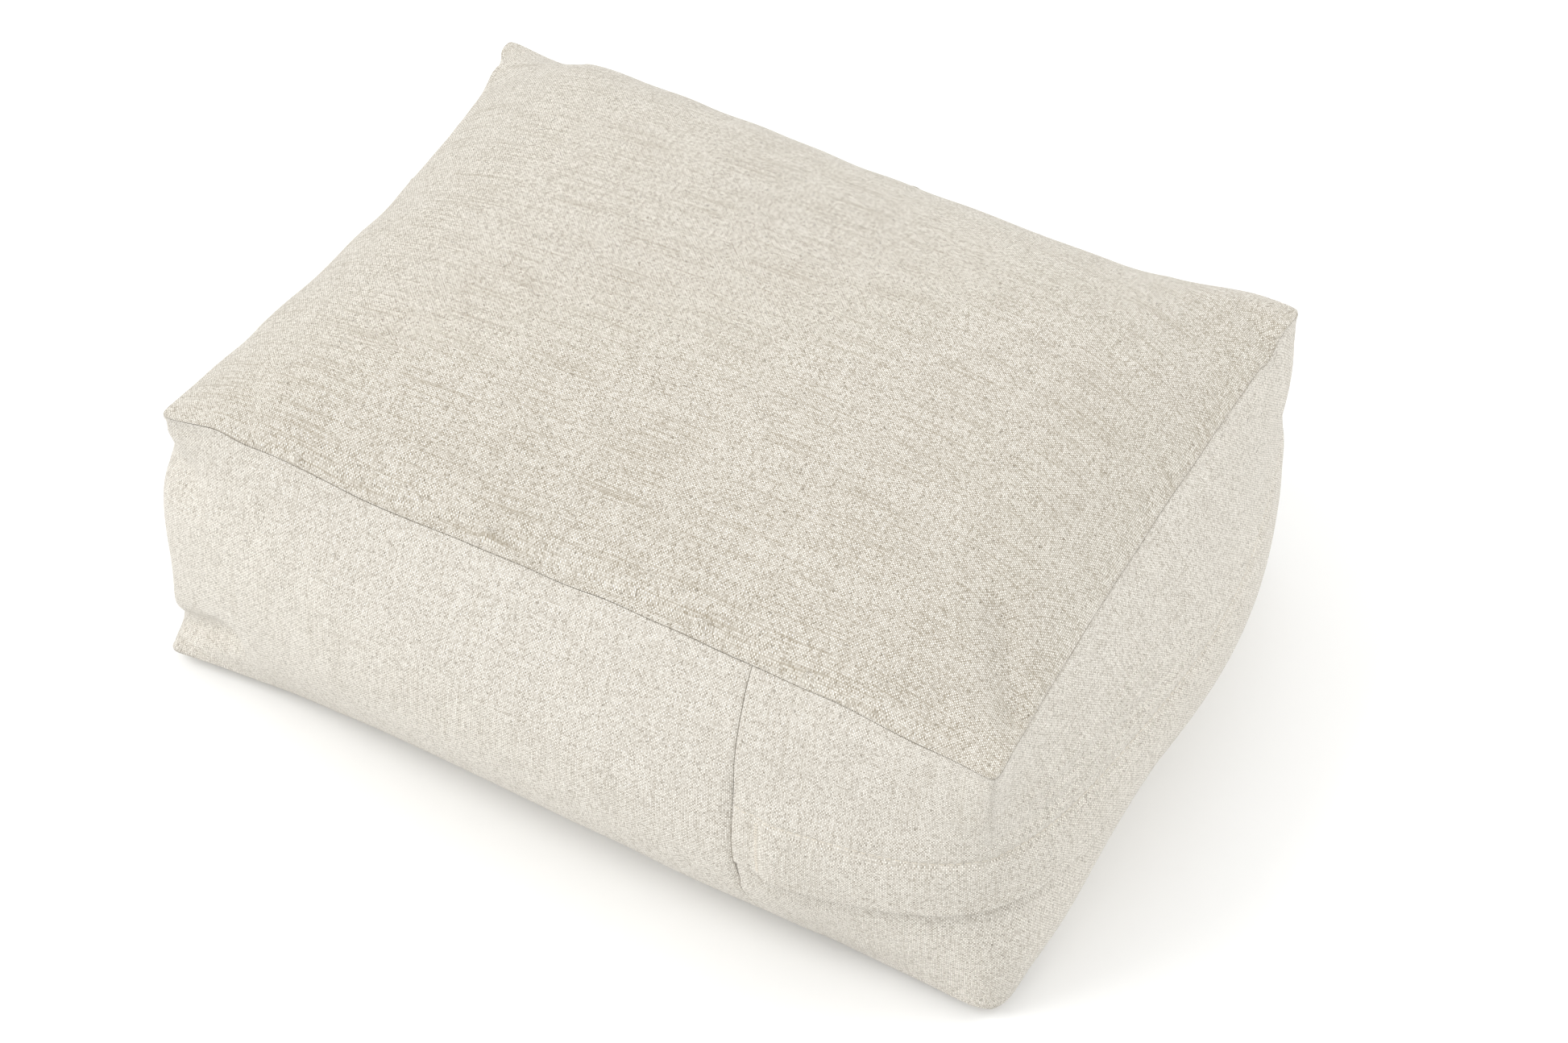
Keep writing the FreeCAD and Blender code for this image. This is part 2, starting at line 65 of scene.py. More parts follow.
# distances round the band to the end of its front, right, back and left sides
ROUND = (0.4, 0.7, 1.1, 1.4)
FRONT_SEAM = HALF_X + SIDE_SEAM
BACK_SEAM = ROUND[1] + HALF_X - SIDE_SEAM
DROP = TOP_SEAM - LOW_SEAM
ZIP_UP = (ZIP_HEIGHT - LOW_SEAM) / DROP

# -------- simulation and grids
CELLS = (72, 54, 26)
PRESSURE = 30.0
GROWTH = 0.03
FRAMES = 26
# cells of the finer grids that the blown cloth is read into: along, across and up
FINE = (160, 120)
FINE_UP = 56
STEP = 2 * HALF_X / FINE[0]
TINY = 1e-6

# -------- shape of the cover
# each pair of blurs is for sharp corners and for the rounded one
CORNER_BLUR = (0.016, 0.026)
BELLY_BLUR = (0.013, 0.023)
TOP_SEAM_BLUR = (0.004, 0.0025)
LOW_SEAM_BLUR = (0.004, 0.009)
EDGE_BLUR = 0.012
ROUNDED_REACH = 0.10
# rounds of evening out the small folds of the panels, the band and the crown's rise
RELAX = 300
BAND_RELAX = 50
EVEN_RISE = 150
# how far up the band and into a panel a seam's move reaches, as a share and as a length
SEAM_REACH = 0.45
SHEET_REACH = 0.055
# share of a panel over which one of its edges takes over from the next
EDGE_SHARE = 0.02
# puckers along the seams: their height, number of waves and range of wave lengths
SEAM_WAVE = 0.0006
SEAM_WAVES = 9
SEAM_WAVE_LENGTHS = (0.028, 0.09)
SEAM_BOW_POWER = 0.8
TOP_FULLNESS = 0.72
FLOOR_GAP = 0.0003
# how far the middle of each seam is pulled in and lifted: front, right, back, left
TOP_SEAM_PULL = ((0.012, -0.004), (0.005, -0.005), (0.010, -0.004), (0.010, -0.004))
LOW_SEAM_PULL = ((0.003, 0.005), (0.002, 0.004), (0.004, 0.005), (0.004, 0.005))
# centre, reach and greatest move of each push
PUSHES = (
    ((-0.200, -0.150, 0.148), (0.035, 0.035, 0.035), (0.008, 0.002, 0.005)),
    ((-0.150, -0.140, 0.148), (0.050, 0.040, 0.040), (0, 0.003, 0.005)),
    ((-0.200, -0.150, 0.070), (0.040, 0.040, 0.045), (-0.005, 0, 0)),
    ((-0.200, -0.150, 0.015), (0.030, 0.040, 0.030), (-0.006, -0.003, 0)),
    ((0.088, -0.170, 0.055), (0.070, 0.050, 0.070), (0.009, 0, 0)),
    ((0.215, 0.000, 0.050), (0.060, 0.170, 0.050), (0.005, 0, 0)),
    ((0.205, -0.130, 0.025), (0.040, 0.060, 0.040), (0.013, -0.003, 0)),
    ((0.225, -0.070, 0.070), (0.060, 0.080, 0.040), (0, 0, 0.011)),
    ((0.205, -0.140, 0.070), (0.030, 0.030, 0.035), (0, 0, 0.005)),
    ((-0.166, -0.145, 0.152), (0.010, 0.012, 0.012), (0, 0, 0.0028)),
    ((0.220, 0.140, 0.090), (0.040, 0.060, 0.030), (-0.004, 0, 0)),
    ((0.205, 0.145, 0.120), (0.030, 0.035, 0.025), (0.004, 0.002, 0)),
    ((0.180, 0.140, 0.155), (0.030, 0.030, 0.030), (0, 0.003, 0.007)),
    ((-0.224, 0.000, 0.077), (0.040, 0.150, 0.060), (0.010, 0, 0)),
    ((-0.200, 0.150, 0.130), (0.035, 0.035, 0.035), (-0.010, 0.002, -0.004)),
    ((-0.060, 0.140, 0.180), (0.140, 0.050, 0.040), (0, 0.004, 0.0065)),
    ((0.130, 0.140, 0.180), (0.050, 0.050, 0.040), (0, 0, -0.004)),
    ((0.110, -0.170, 0.040), (0.090, 0.040, 0.050), (0, -0.004, -0.003)),
    ((0.092, -0.155, 0.010), (0.030, 0.030, 0.034), (0.017, 0, 0)),
)
# start, end, width and greatest move of each fold or crease
DENTS = (
    ((0.168, -0.086, 0.166), (0.190, -0.118, 0.151), 0.0070, (-0.0008, 0, -0.0048)),
    ((0.184, 0.130, 0.157), (0.199, 0.121, 0.149), 0.0055, (0, 0, -0.0042)),
    ((-0.200, -0.150, 0.022), (-0.168, -0.156, 0.038), 0.0085, (0.003, 0.0075, 0)),
    ((-0.202, -0.150, 0.132), (-0.184, -0.150, 0.124), 0.0110, (0.002, 0.0060, 0)),
    ((-0.149, -0.147, 0.136), (-0.120, -0.163, 0.091), 0.0035, (0, -0.0008, 0)),
    ((-0.203, 0.136, 0.146), (-0.204, 0.128, 0.126), 0.0040, (0.004, 0, 0)),
    ((0.094, -0.166, 0.112), (0.099, -0.170, 0.050), 0.0035, (0, 0.0022, 0)),
)

# -------- panels with rolled edges and hems
# distances from a sewn edge to its first mesh lines, and the spacing of the lines beyond them
NEAR = (0, 0.0004, 0.0008, 0.0013, 0.0019, 0.0026, 0.0035, 0.005, 0.007, 0.009)
MESH = 0.0024
HEM = (0.0006, 0.0016, 0.0040)
ROLL_DEPTH = 0.0006
ROLL_WIDTH = 0.0018
GAP = 0.00010
GAP_WIDTH = 0.0012
ROW_CLEAR = 0.0006
PANEL_SHEET = 0.0007
FLAP_SHEET = 0.0005
PANEL_WELD = 0.00002
# a hem's direction: so much into the cushion and so much up
TOP_HEM = (0.75, -0.66)
LOW_HEM = (0.66, 0.75)
SLOT_HEM = 0.25

# -------- relief of the band
# the ridge of the seam allowance below the top seam, and the groove above it: rise, place, width
ALLOWANCE_RIDGE = (0.0009, 0.010, 0.0035)
ALLOWANCE_GROOVE = (0.0003, 0.0045, 0.002)
ALLOWANCE_SEED = 31
ALLOWANCE_WAVES = 7
ALLOWANCE_WAVE_LENGTHS = (0.05, 0.2)
# how far the lower gusset sinks towards the zip, and the height where that starts
SINK = 0.0015
SINK_ROOT = 0.050
# how far the flap stands out where it is sewn down and on the front, and where that becomes the CAD stand
PRESSED = 0.0003
FRONT_STAND = 0.0042
STAND_PLACE = 0.60
STAND_CHANGE = 0.10
# more room under the flap by the back right corner, where the pull's tip swings at the end of the
# slider's run
PULL_ROOM = 0.0009
PULL_ROOM_PLACE = ROUND[1] + 0.015
PULL_ROOM_WIDTH = 0.030
# the flap rises from its sewn ends: where that starts on the front, and over what lengths
FRONT_RISE_START = FRONT_SEAM + 0.009
FRONT_RISE = 0.010
BACK_RISE = 0.0050
# heights between which the flap leaves the band
RELIEF_ROOT = 0.106
RELIEF_FULL = 0.082
STITCH_DIP = 0.0011
STITCH_DIP_WIDTH = 0.0013
STITCH_DIP_START = 0.012
# the zip shows through the front of the flap as a ridge
ZIP_RIDGE = 0.0009
ZIP_RIDGE_HEIGHT = 0.077
ZIP_RIDGE_WIDTH = 0.008
ZIP_RIDGE_START = 0.03
FRONT_END = 0.62
FRONT_FADE = 0.06
# creases of the upper gusset round the front right corner
CREASES = (0.097, 0.105, 0.113)
CREASE_RISE = 0.0016
CREASE_WIDTH = 0.0026
CREASE_WAVE = 0.0012
CREASE_TURNS = 70
CREASE_MORE_TURNS = 9
CREASE_PLACE = 0.46
CREASE_REACH = 0.09
CREASE_START = 0.34
CREASE_FADE = 0.06
FOLD_RADIUS = CLOTH / 2
FOLD_HEIGHT = 0.022
FOLD_STEPS = 7

# -------- stitches
STITCH_POINTS = 6
STITCH_ARCH = 1.2
STITCH_SUNK = 0.9
STITCH_MARGIN = 0.001
# mesh rows beside the topstitching, so that the dip it lies in is modelled
STITCH_ROWS = (-0.0026, -0.0013, -0.0006, 0, 0.0006, 0.0013, 0.0026)
TACK_PLACE = FRONT_SEAM + 0.012
TACK_WIDTH = 0.0018
TACK_PITCH = 0.0011
TACK_ABOVE_EDGE = 0.0015
TACK_BELOW_STITCH = 0.001

# -------- inner cushion
INNER_CENTRE = np.array([0, 0, 0.098])
INNER_SHRINK = np.array([0.945, 0.935, 0.92])
INNER_CELLS = (41, 31, 15)
INNER_STEP = 0.01
INNER_WELD = 0.0002

# -------- weave and other materials
THREAD = 0.00067
WEFT_DARKER = 0.5
WANDER = 3.0
WANDER_SCALE = 0.02
# a thread's own tone changes slowly along it, and more finely on top of that
THREAD_DRIFT = 0.035
THREAD_FINE = 0.3
OWN_TONE = 0.14
FINE_TONE = 0.3
# shares of a thread's tone, of each crossing's own and of fine grain in the weave's shade
TONE_SHARE = 0.76
CELL_SHARE = 0.42
GRAIN_SHARE = 0.05
# how strong the painted shade in the gaps between the threads is, and how dark the specks are
GAP_SHADE = 0.85
DOT_SHADE = 0.5
SLUB_ACROSS = 0.95
SLUB_ALONG = 0.014
SLUB_COLOUR = (0.34, 0.29, 0.21, 1)
WEAVE_DEPTH = 0.00022
WEAVE_STRENGTH = 0.8
LINEN_LIGHT = (1.0, 0.965, 0.885, 1)
TAPE_RIBS = 2 * math.pi / 0.0011
COIL_TURNS = 2 * math.pi / 0.0014
FLOOR_HALF = 30.0


# -------- small helpers
def smooth(t):
    t = np.clip(t, 0, 1)
    return t * t * (3 - 2 * t)


def unit(v):
    return v / np.maximum(np.linalg.norm(v, axis=-1, keepdims=True), 1e-12)


def ridge(value, centre, width):
    return np.exp(-(((value - centre) / width) ** 2))


# -------- cloth box
def box_cloth():
    """The box as one mesh of square cells, and the vertex number at each grid place."""
    nx, ny, nz = CELLS
    index, places, faces = {}, [], []

    def vertex(i, j, k):
        key = (i, j, k)
        if key not in index:
            index[key] = len(places)
            places.append(
                (
                    HALF_X * (2 * i / nx - 1),
                    HALF_Y * (2 * j / ny - 1),
                    LOW_SEAM + (TOP_SEAM - LOW_SEAM) * k / nz,
                )
            )
        return index[key]

    def sheet(count_a, count_b, at, flip):
        for a in range(count_a):
            for b in range(count_b):
                face = [at(a, b), at(a + 1, b), at(a + 1, b + 1), at(a, b + 1)]
                corners = [vertex(*place) for place in face]
                faces.append(corners[::-1] if flip else corners)

    sheet(nx, ny, lambda a, b: (a, b, nz), False)
    sheet(nx, ny, lambda a, b: (a, b, 0), True)
    sheet(nx, nz, lambda a, b: (a, 0, b), False)
    sheet(nx, nz, lambda a, b: (a, ny, b), True)
    sheet(ny, nz, lambda a, b: (nx, a, b), False)
    sheet(ny, nz, lambda a, b: (0, a, b), True)
    mesh = bpy.data.meshes.new("cloth_box")
    mesh.from_pydata(places, [], faces)
    mesh.update()
    return mesh, index


def puff_up():
    """Blows up the cloth box over a floor, with its eight corners held, and returns its vertex places."""
    mesh, index = box_cloth()
    cloth = bpy.data.objects.new("cloth_box", mesh)
    ground_mesh = bpy.data.meshes.new("ground")
    ground_mesh.from_pydata([(-1, -1, 0), (1, -1, 0), (1, 1, 0), (-1, 1, 0)], [], [(0, 1, 2, 3)])
    ground = bpy.data.objects.new("ground", ground_mesh)
    for item in (cloth, ground):
        bpy.context.scene.collection.objects.link(item)
    ground.modifiers.new("stop", "COLLISION")
    ground.collision.thickness_outer = 0.001
    held = cloth.vertex_groups.new(name="held")
    nx, ny, nz = CELLS
    corners = [index[(i, j, k)] for i in (0, nx) for j in (0, ny) for k in (0, nz)]
    held.add(corners, 1.0, "REPLACE")
    modifier = cloth.modifiers.new("blow", "CLOTH")
    setting = modifier.settings
    setting.quality = 6
    setting.mass = 0.02
    setting.shrink_min = -GROWTH
    setting.tension_stiffness = 60
    setting.compression_stiffness = 60
    setting.shear_stiffness = 20
    setting.bending_stiffness = 0.5
    setting.tension_damping = 20
    setting.compression_damping = 20
    setting.shear_damping = 20
    setting.bending_damping = 2
    setting.air_damping = 5
    setting.vertex_group_mass = "held"
    setting.use_pressure = True
    setting.uniform_pressure_force = PRESSURE
    setting.effector_weights.gravity = 0
    modifier.collision_settings.distance_min = 0.001
    modifier.point_cache.frame_end = FRAMES
    scene = bpy.context.scene
    for number in range(1, FRAMES + 1):
        scene.frame_set(number)
    shown = cloth.evaluated_get(bpy.context.evaluated_depsgraph_get())
    places = np.empty(len(shown.data.vertices) * 3)
    shown.data.vertices.foreach_get("co", places)
    scene.frame_set(1)
    for item in (cloth, ground):
        bpy.data.objects.remove(item)
    return places.reshape(-1, 3), index


def grids_of(places, index):
    """The top, the bottom and the band round the sides as grids of points."""
    nx, ny, nz = CELLS
    top = np.array([[places[index[(i, j, nz)]] for j in range(ny + 1)] for i in range(nx + 1)])
    low = np.array([[places[index[(i, j, 0)]] for j in range(ny + 1)] for i in range(nx + 1)])
    way = [(i, 0) for i in range(nx)] + [(nx, j) for j in range(ny)]
    way += [(i, ny) for i in range(nx, 0, -1)] + [(0, j) for j in range(ny, 0, -1)]
    band = np.array([[places[index[(i, j, k)]] for k in range(nz + 1)] for i, j in way])
    return top, low, band


# -------- reading a grid between its points
def row_weights(count, at):
    """Weights that read a row of samples at fractional places, as a smooth curve through them."""
    at = np.asarray(at, float)
    base = np.clip(np.floor(at).astype(int), 0, count - 2)
    t = at - base
    parts = (
        (-1, -0.5 * t + t**2 - 0.5 * t**3),
        (0, 1 - 2.5 * t**2 + 1.5 * t**3),
        (1, 0.5 * t + 2 * t**2 - 1.5 * t**3),
        (2, -0.5 * t**2 + 0.5 * t**3),
    )
    rows = np.zeros((len(at), count))
    line = np.arange(len(at))
    for step, part in parts:
        place = base + step
        under, over = place < 0, place > count - 1
        inside = ~(under | over)
        np.add.at(rows, (line[inside], place[inside]), part[inside])
        for outside, edge, inner in ((under, 0, 1), (over, count - 1, count - 2)):
            rows[outside, edge] += 2 * part[outside]
            rows[outside, inner] -= part[outside]
    return rows


def round_weights(counts, at):
    """The same for the closed band, each of whose four sides is read on its own.

    counts are the cells of a long and of a short side.
    """
    total = 2 * (counts[0] + counts[1])
    rows = np.zeros((len(at), total))
    at = np.mod(at, ROUND[3])
    first, start = 0, 0.0
    for side, end in enumerate(ROUND):
        cells = counts[side % 2]
        own = np.nonzero((at >= start) & (at < end))[0]
        local = row_weights(cells + 1, (at[own] - start) / (end - start) * cells)
        columns = (first + np.arange(cells + 1)) % total
        for column, source in zip(columns, range(cells + 1)):
            rows[own, column] += local[:, source]
        first += cells
        start = end
    return rows


def read_sheet(grid, u, v):
    """Points of a flat panel's grid at fractions u along it and v across it."""
    along = row_weights(grid.shape[0], np.asarray(u) * (grid.shape[0] - 1))
    across = row_weights(grid.shape[1], np.asarray(v) * (grid.shape[1] - 1))
    return np.einsum("ai,ijc,bj->abc", along, grid, across, optimize=True)


def read_band(grid, counts, s, v):
    """Points of the band at distances s round it and fractions v up it."""
    along = round_weights(counts, s)
    across = row_weights(grid.shape[1], np.asarray(v) * (grid.shape[1] - 1))
    return np.einsum("ai,ijc,bj->abc", along, grid, across, optimize=True)


def border(grid):
    """The edge points of a flat panel's grid, in the order of the band."""
    return np.concatenate([grid[:-1, 0], grid[-1, :-1], grid[:0:-1, -1], grid[0, :0:-1]])


# -------- shaping
def belly_outline(s):
    """Plan of the CAD band at its fullest, at distances s round it, before its corners are rounded."""
    long_radius = (HALF_X**2 + BELLY_BOW**2) / (2 * BELLY_BOW)
    short_radius = (HALF_Y**2 + BELLY_BOW**2) / (2 * BELLY_BOW)
    points = np.empty((len(s), 2))
    for number, place in enumerate(np.mod(s, ROUND[3])):
        if place < ROUND[0] or ROUND[1] <= place < ROUND[2]:
            start, turn = (0, 1) if place < ROUND[0] else (ROUND[1], -1)
            along = place - start - HALF_X
            out = math.sqrt(long_radius**2 - along**2) - long_radius + HALF_Y + BELLY_BOW
            points[number] = (turn * along, -turn * out)
        else:
            start, turn = (ROUND[0], 1) if place < ROUND[1] else (ROUND[2], -1)
            along = place - start - HALF_Y
            out = math.sqrt(short_radius**2 - along**2) - short_radius + HALF_X + BELLY_BOW
            points[number] = (turn * out, turn * along)
    return points


def blur_round(grid, spread):
    """Smooths the band along its length. spread is the blur in metres for each row up it."""
    frequency = np.fft.fftfreq(len(grid), STEP)
    keep = np.exp(-2 * (math.pi * frequency[:, None] * np.asarray(spread)[None, :]) ** 2)
    return np.fft.ifft(np.fft.fft(grid, axis=0) * keep[..., None], axis=0).real


def side_wave(count, seed, waves, lengths):
    """A seeded sum of sines round the band, between about -1 and 1, closed on itself."""
    random = np.random.default_rng(seed)
    place = np.arange(count) / count
    total = np.zeros(count)
    for _ in range(waves):
        turns = round(ROUND[3] / random.uniform(*lengths))
        total += np.sin(2 * math.pi * (turns * place + random.random())) * random.uniform(0.5, 1)
    return total / math.sqrt(waves)


def normals_of(grid, looped=False):
    """Unit normals of a grid of points. looped says that its first axis closes on itself."""
    if looped:
        along = np.roll(grid, -1, 0) - np.roll(grid, 1, 0)
    else:
        along = np.gradient(grid, axis=0)
    return unit(np.cross(along, np.gradient(grid, axis=1)))


def rounded_corner(s):
    """1 at the front right corner, which is broadly rounded, and 0 at the others."""
    return np.exp(-(((s - ROUND[0]) / ROUNDED_REACH) ** 2))


def rounded(band, blurs, round_here):
    """Rounds the corners of a band: little, and more where round_here is 1."""
    sharp, soft = (blur_round(band, np.full(band.shape[1], spread)) for spread in blurs)
    return sharp + round_here[:, None, None] * (soft - sharp)


def rounded_line(points, blurs, round_here):
    """The same for a line round the cushion."""
    return rounded(points[:, None], blurs, round_here)[:, 0]


def even_edged(sheet):
    """Smooths the edge of a blown panel."""
    edge = blur_round(border(sheet)[:, None], [EDGE_BLUR])[:, 0]
    corners = np.cumsum([0, FINE[0], FINE[1], FINE[0], FINE[1]])
    sides = [np.arange(first, last + 1) for first, last in zip(corners, corners[1:])]
    front, right, back, left = (np.take(edge, side, 0, mode="wrap") for side in sides)
    sheet[:, 0], sheet[-1] = front, right
    sheet[:, -1], sheet[0] = back[::-1], left[::-1]
    return sheet


def seam_line(s, height, pulls, blurs):
    """A seam round the cushion. pulls says for each side how far its middle is pulled in and lifted."""
    line = np.empty((len(s), 3))
    start = 0.0
    for side, (end, (pulled, lifted)) in enumerate(zip(ROUND, pulls)):
        own = (s >= start) & (s < end)
        bow = np.sin(math.pi * (s[own] - start) / (end - start)) ** SEAM_BOW_POWER
        turn = (1, -1)[side // 2]
        along = turn * (s[own] - (start + end) / 2)
        across = (HALF_Y, HALF_X)[side % 2] - pulled * bow
        if side % 2:
            line[own, 0], line[own, 1] = turn * across, along
        else:
            line[own, 0], line[own, 1] = along, -turn * across
        line[own, 2] = height + lifted * bow
        start = end
    return rounded_line(line, blurs, rounded_corner(s))


def relaxed(sheet, times):
    """Evens out the small folds of a blown panel, whose edge stays."""
    sheet = sheet.copy()
    for _ in range(times):
        near = sheet[2:, 1:-1] + sheet[:-2, 1:-1] + sheet[1:-1, 2:] + sheet[1:-1, :-2]
        sheet[1:-1, 1:-1] += 0.5 * (near / 4 - sheet[1:-1, 1:-1])
    return sheet


def relaxed_band(band):
    """The same for the band, which closes on itself."""
    band = band.copy()
    for _ in range(BAND_RELAX):
        round_near = np.roll(band, 1, 0)[:, 1:-1] + np.roll(band, -1, 0)[:, 1:-1]
        near = round_near + band[:, 2:] + band[:, :-2]
        band[:, 1:-1] += 0.5 * (near / 4 - band[:, 1:-1])
    return band


def push(grid):
    """Moves points by the listed pushes, each strongest at its centre."""
    moved = np.zeros_like(grid)
    for centre, reach, move in PUSHES:
        far = ((grid - np.array(centre)) / np.array(reach)) ** 2
        moved += np.exp(-far.sum(-1, keepdims=True)) * np.array(move)
    grid += moved


def dent(grid):
    """Presses in folds and raises creases, each along a straight line."""
    moved = np.zeros_like(grid)
    for start, end, width, move in DENTS:
        start, line = np.array(start), np.array(end) - np.array(start)
        along = np.clip((grid - start) @ line / (line @ line), 0, 1)[..., None]
        far = np.linalg.norm(grid - start - along * line, axis=-1, keepdims=True)
        moved += np.exp(-((far / width) ** 2)) * np.array(move)
    grid += moved


def spread_shift(sheet, shift):
    """Moves a flat panel's edge by the given shifts, fading towards its middle."""
    nu, nv = sheet.shape[:2]
    u, v = np.linspace(0, 1, nu), np.linspace(0, 1, nv)
    front, right = shift[: nu - 1], shift[nu - 1 : nu + nv - 2]
    back, left = shift[nu + nv - 2 : 2 * nu + nv - 3], shift[2 * nu + nv - 3 :]
    front = np.concatenate([front, right[:1]])
    right = np.concatenate([right, back[:1]])
    back = np.concatenate([back, left[:1]])[::-1]
    left = np.concatenate([left, front[:1]])[::-1]
    reach_u, reach_v = SHEET_REACH / (2 * HALF_X), SHEET_REACH / (2 * HALF_Y)
    edges = (
        (v[None, :], reach_v, front[:, None]),
        (1 - v[None, :], reach_v, back[:, None]),
        (u[:, None], reach_u, left[None]),
        (1 - u[:, None], reach_u, right[None]),
    )
    weights = [np.exp(-away / EDGE_SHARE) * np.ones((nu, nv)) for away, _, _ in edges]
    total = sum(weights)
    for (away, reach, move), weight in zip(edges, weights):
        sheet += np.exp(-((away / reach) ** 2))[..., None] * move * (weight / total)[..., None]


def shape_cover(top, low, band):
    """Brings the blown cloth to the CAD sizes and the seams' real lines, and adds seam puckers."""
    u, v = np.linspace(0, 1, FINE[0] + 1), np.linspace(0, 1, FINE[1] + 1)
    top, low = (relaxed(even_edged(read_sheet(sheet, u, v)), RELAX) for sheet in (top, low))
    s = np.arange(2 * sum(FINE)) * STEP
    up = np.linspace(0, 1, FINE_UP + 1)
    band = read_band(relaxed_band(band), CELLS[:2], s, up)
    round_here = rounded_corner(s)
    band = rounded(band, CORNER_BLUR, round_here)

    # the top rises to the CAD crown, steeply from its seams
    rise = top[..., 2] - TOP_SEAM
    even = relaxed(rise[..., None], EVEN_RISE)[..., 0]
    full = (np.maximum(even, 0) / even.max() + TINY) ** (TOP_FULLNESS - 1)
    rise = np.where(rise > 0, rise * full, rise)
    top[..., 2] = TOP_SEAM + rise * (CROWN_TOP - TOP_SEAM) / rise.max()

    # the seams move to their wanted lines, and the panels on both sides with them
    for sheet, row, seed, height, pulls, blurs, away in (
        (top, -1, 4, TOP_SEAM, TOP_SEAM_PULL, TOP_SEAM_BLUR, 1 - up),
        (low, 0, 5, LOW_SEAM, LOW_SEAM_PULL, LOW_SEAM_BLUR, up),
    ):
        line = seam_line(s, height, pulls, blurs)
        line[:, 2] += SEAM_WAVE * side_wave(len(s), seed, SEAM_WAVES, SEAM_WAVE_LENGTHS)
        spread_shift(sheet, line - border(sheet))
        band += np.exp(-((away / SEAM_REACH) ** 2))[None, :, None] * (line - band[:, row])[:, None]
        band[:, row] = border(sheet)

    # the band's fullest line is the CAD one, level with the zip
    outline = np.concatenate([belly_outline(s), np.full((len(s), 1), ZIP_HEIGHT)], 1)
    outline = rounded_line(outline, BELLY_BLUR, round_here)
    at_zip = read_band(band, FINE, s, [ZIP_UP])[:, 0]
    reach = np.where(up < ZIP_UP, ZIP_UP, 1 - ZIP_UP)
    pull = 1 - ((up - ZIP_UP) / reach) ** 2
    band = band + pull[None, :, None] * (outline - at_zip)[:, None]

    for grid in (top, low, band):
        push(grid)
        dent(grid)
    low[..., 2] = np.maximum(low[..., 2], FLOOR_GAP)
    return top, low, band


# -------- mesh of the panels
def grid_faces(rows, columns):
    """Faces between the points of a grid, which are numbered row by row."""
    number = np.arange(rows * columns).reshape(rows, columns)
    return np.stack([number[:-1, :-1], number[1:, :-1], number[1:, 1:], number[:-1, 1:]], -1).reshape(-1, 4)


def weld(mesh, distance):
    """Joins the points of a mesh that are this close."""
    work = bmesh.new()
    work.from_mesh(mesh)
    bmesh.ops.remove_doubles(work, verts=work.verts, dist=distance)
    work.to_mesh(mesh)
    work.free()
    mesh.shade_smooth()


def shown(name, mesh):
    """A mesh as an object in the scene."""
    piece = bpy.data.objects.new(name, mesh)
    bpy.context.scene.collection.objects.link(piece)
    return piece


def cloth_piece(name, grid, flat, material, thickness=PANEL_SHEET):
    """A panel as a mesh object. flat gives each point's place in the flat cloth, for the weave."""
    rows, columns = grid.shape[:2]
    mesh = bpy.data.meshes.new(name)
    mesh.from_pydata(grid.reshape(-1, 3).tolist(), [], grid_faces(rows, columns).tolist())
    place = mesh.attributes.new("flat", "FLOAT_VECTOR", "POINT")
    place.data.foreach_set("vector", np.concatenate([flat, np.zeros((rows, columns, 1))], -1).ravel())
    weld(mesh, PANEL_WELD)
    piece = shown(name, mesh)
    thick = piece.modifiers.new("thickness", "SOLIDIFY")
    thick.thickness = thickness
    thick.offset = -1
    mesh.materials.append(material)
    return piece


def edge_lines(span, first=True, last=True):
    """Distances along a panel, close together near an edge that is sewn."""
    near = np.array(NEAR)
    start = near if first else np.array([0.0])
    end = span - near[::-1] if last else np.array([span])
    count = max(2, round((end[0] - start[-1]) / MESH))
    return np.concatenate([start, np.linspace(start[-1], end[0], count + 1)[1:-1], end])


def with_rows(lines, rows):
    """Adds rows to lines, in place of the lines that are nearly there."""
    rows = np.asarray(rows, float)
    kept = [line for line in lines if not len(rows) or np.abs(rows - line).min() > ROW_CLEAR]
    return np.sort(np.concatenate([kept, rows]))


def roll(distance):
    return ROLL_DEPTH * np.maximum(0, 1 - distance / ROLL_WIDTH) ** 2


def sewn(grid, lines, inward):
    """Rolls a grid's sewn edges inward and adds their hems.

    lines are the distances along both axes. inward has for the first and last edge of each axis the
    directions of the hem, or None where the edge isn't sewn.
    """
    grid = grid.copy()
    for axis in (0, 1):
        for last in (0, 1):
            hem = inward[axis][last]
            if hem is None:
                continue
            turned = np.swapaxes(grid, 0, axis)
            distance = lines[axis][-1] - lines[axis] if last else lines[axis]
            edge, inner = (-1, -4) if last else (0, 3)
            into = unit(turned[inner] - turned[edge])
            move = roll(distance)[:, None, None] * hem[None]
            move = move + GAP * np.exp(-distance / GAP_WIDTH)[:, None, None] * into[None]
            turned += move
    pads = [[len(HEM) if inward[axis][last] is not None else 0 for last in (0, 1)] for axis in (0, 1)]
    size = grid.shape[:2]
    padded = np.pad(grid, (*pads, (0, 0)), mode="edge")
    direction = np.zeros_like(padded)
    count = np.ones(padded.shape[:2])
    depth = np.zeros(padded.shape[:2])
    for axis in (0, 1):
        for last in (0, 1):
            hem = inward[axis][last]
            if hem is None:
                continue
            other = 1 - axis
            long_hem = np.pad(hem, (pads[other], (0, 0)), mode="edge")
            view, many = np.swapaxes(direction, 0, axis), np.swapaxes(count, 0, axis)
            deep = np.swapaxes(depth, 0, axis)
            for number, amount in enumerate(HEM):
                row = pads[axis][0] + size[axis] + number if last else pads[axis][0] - 1 - number
                many[row] = np.where(deep[row] > 0, 2, 1)
                view[row] += long_hem
                deep[row] = np.maximum(deep[row], amount)
    return padded + direction / count[..., None] * depth[..., None], pads


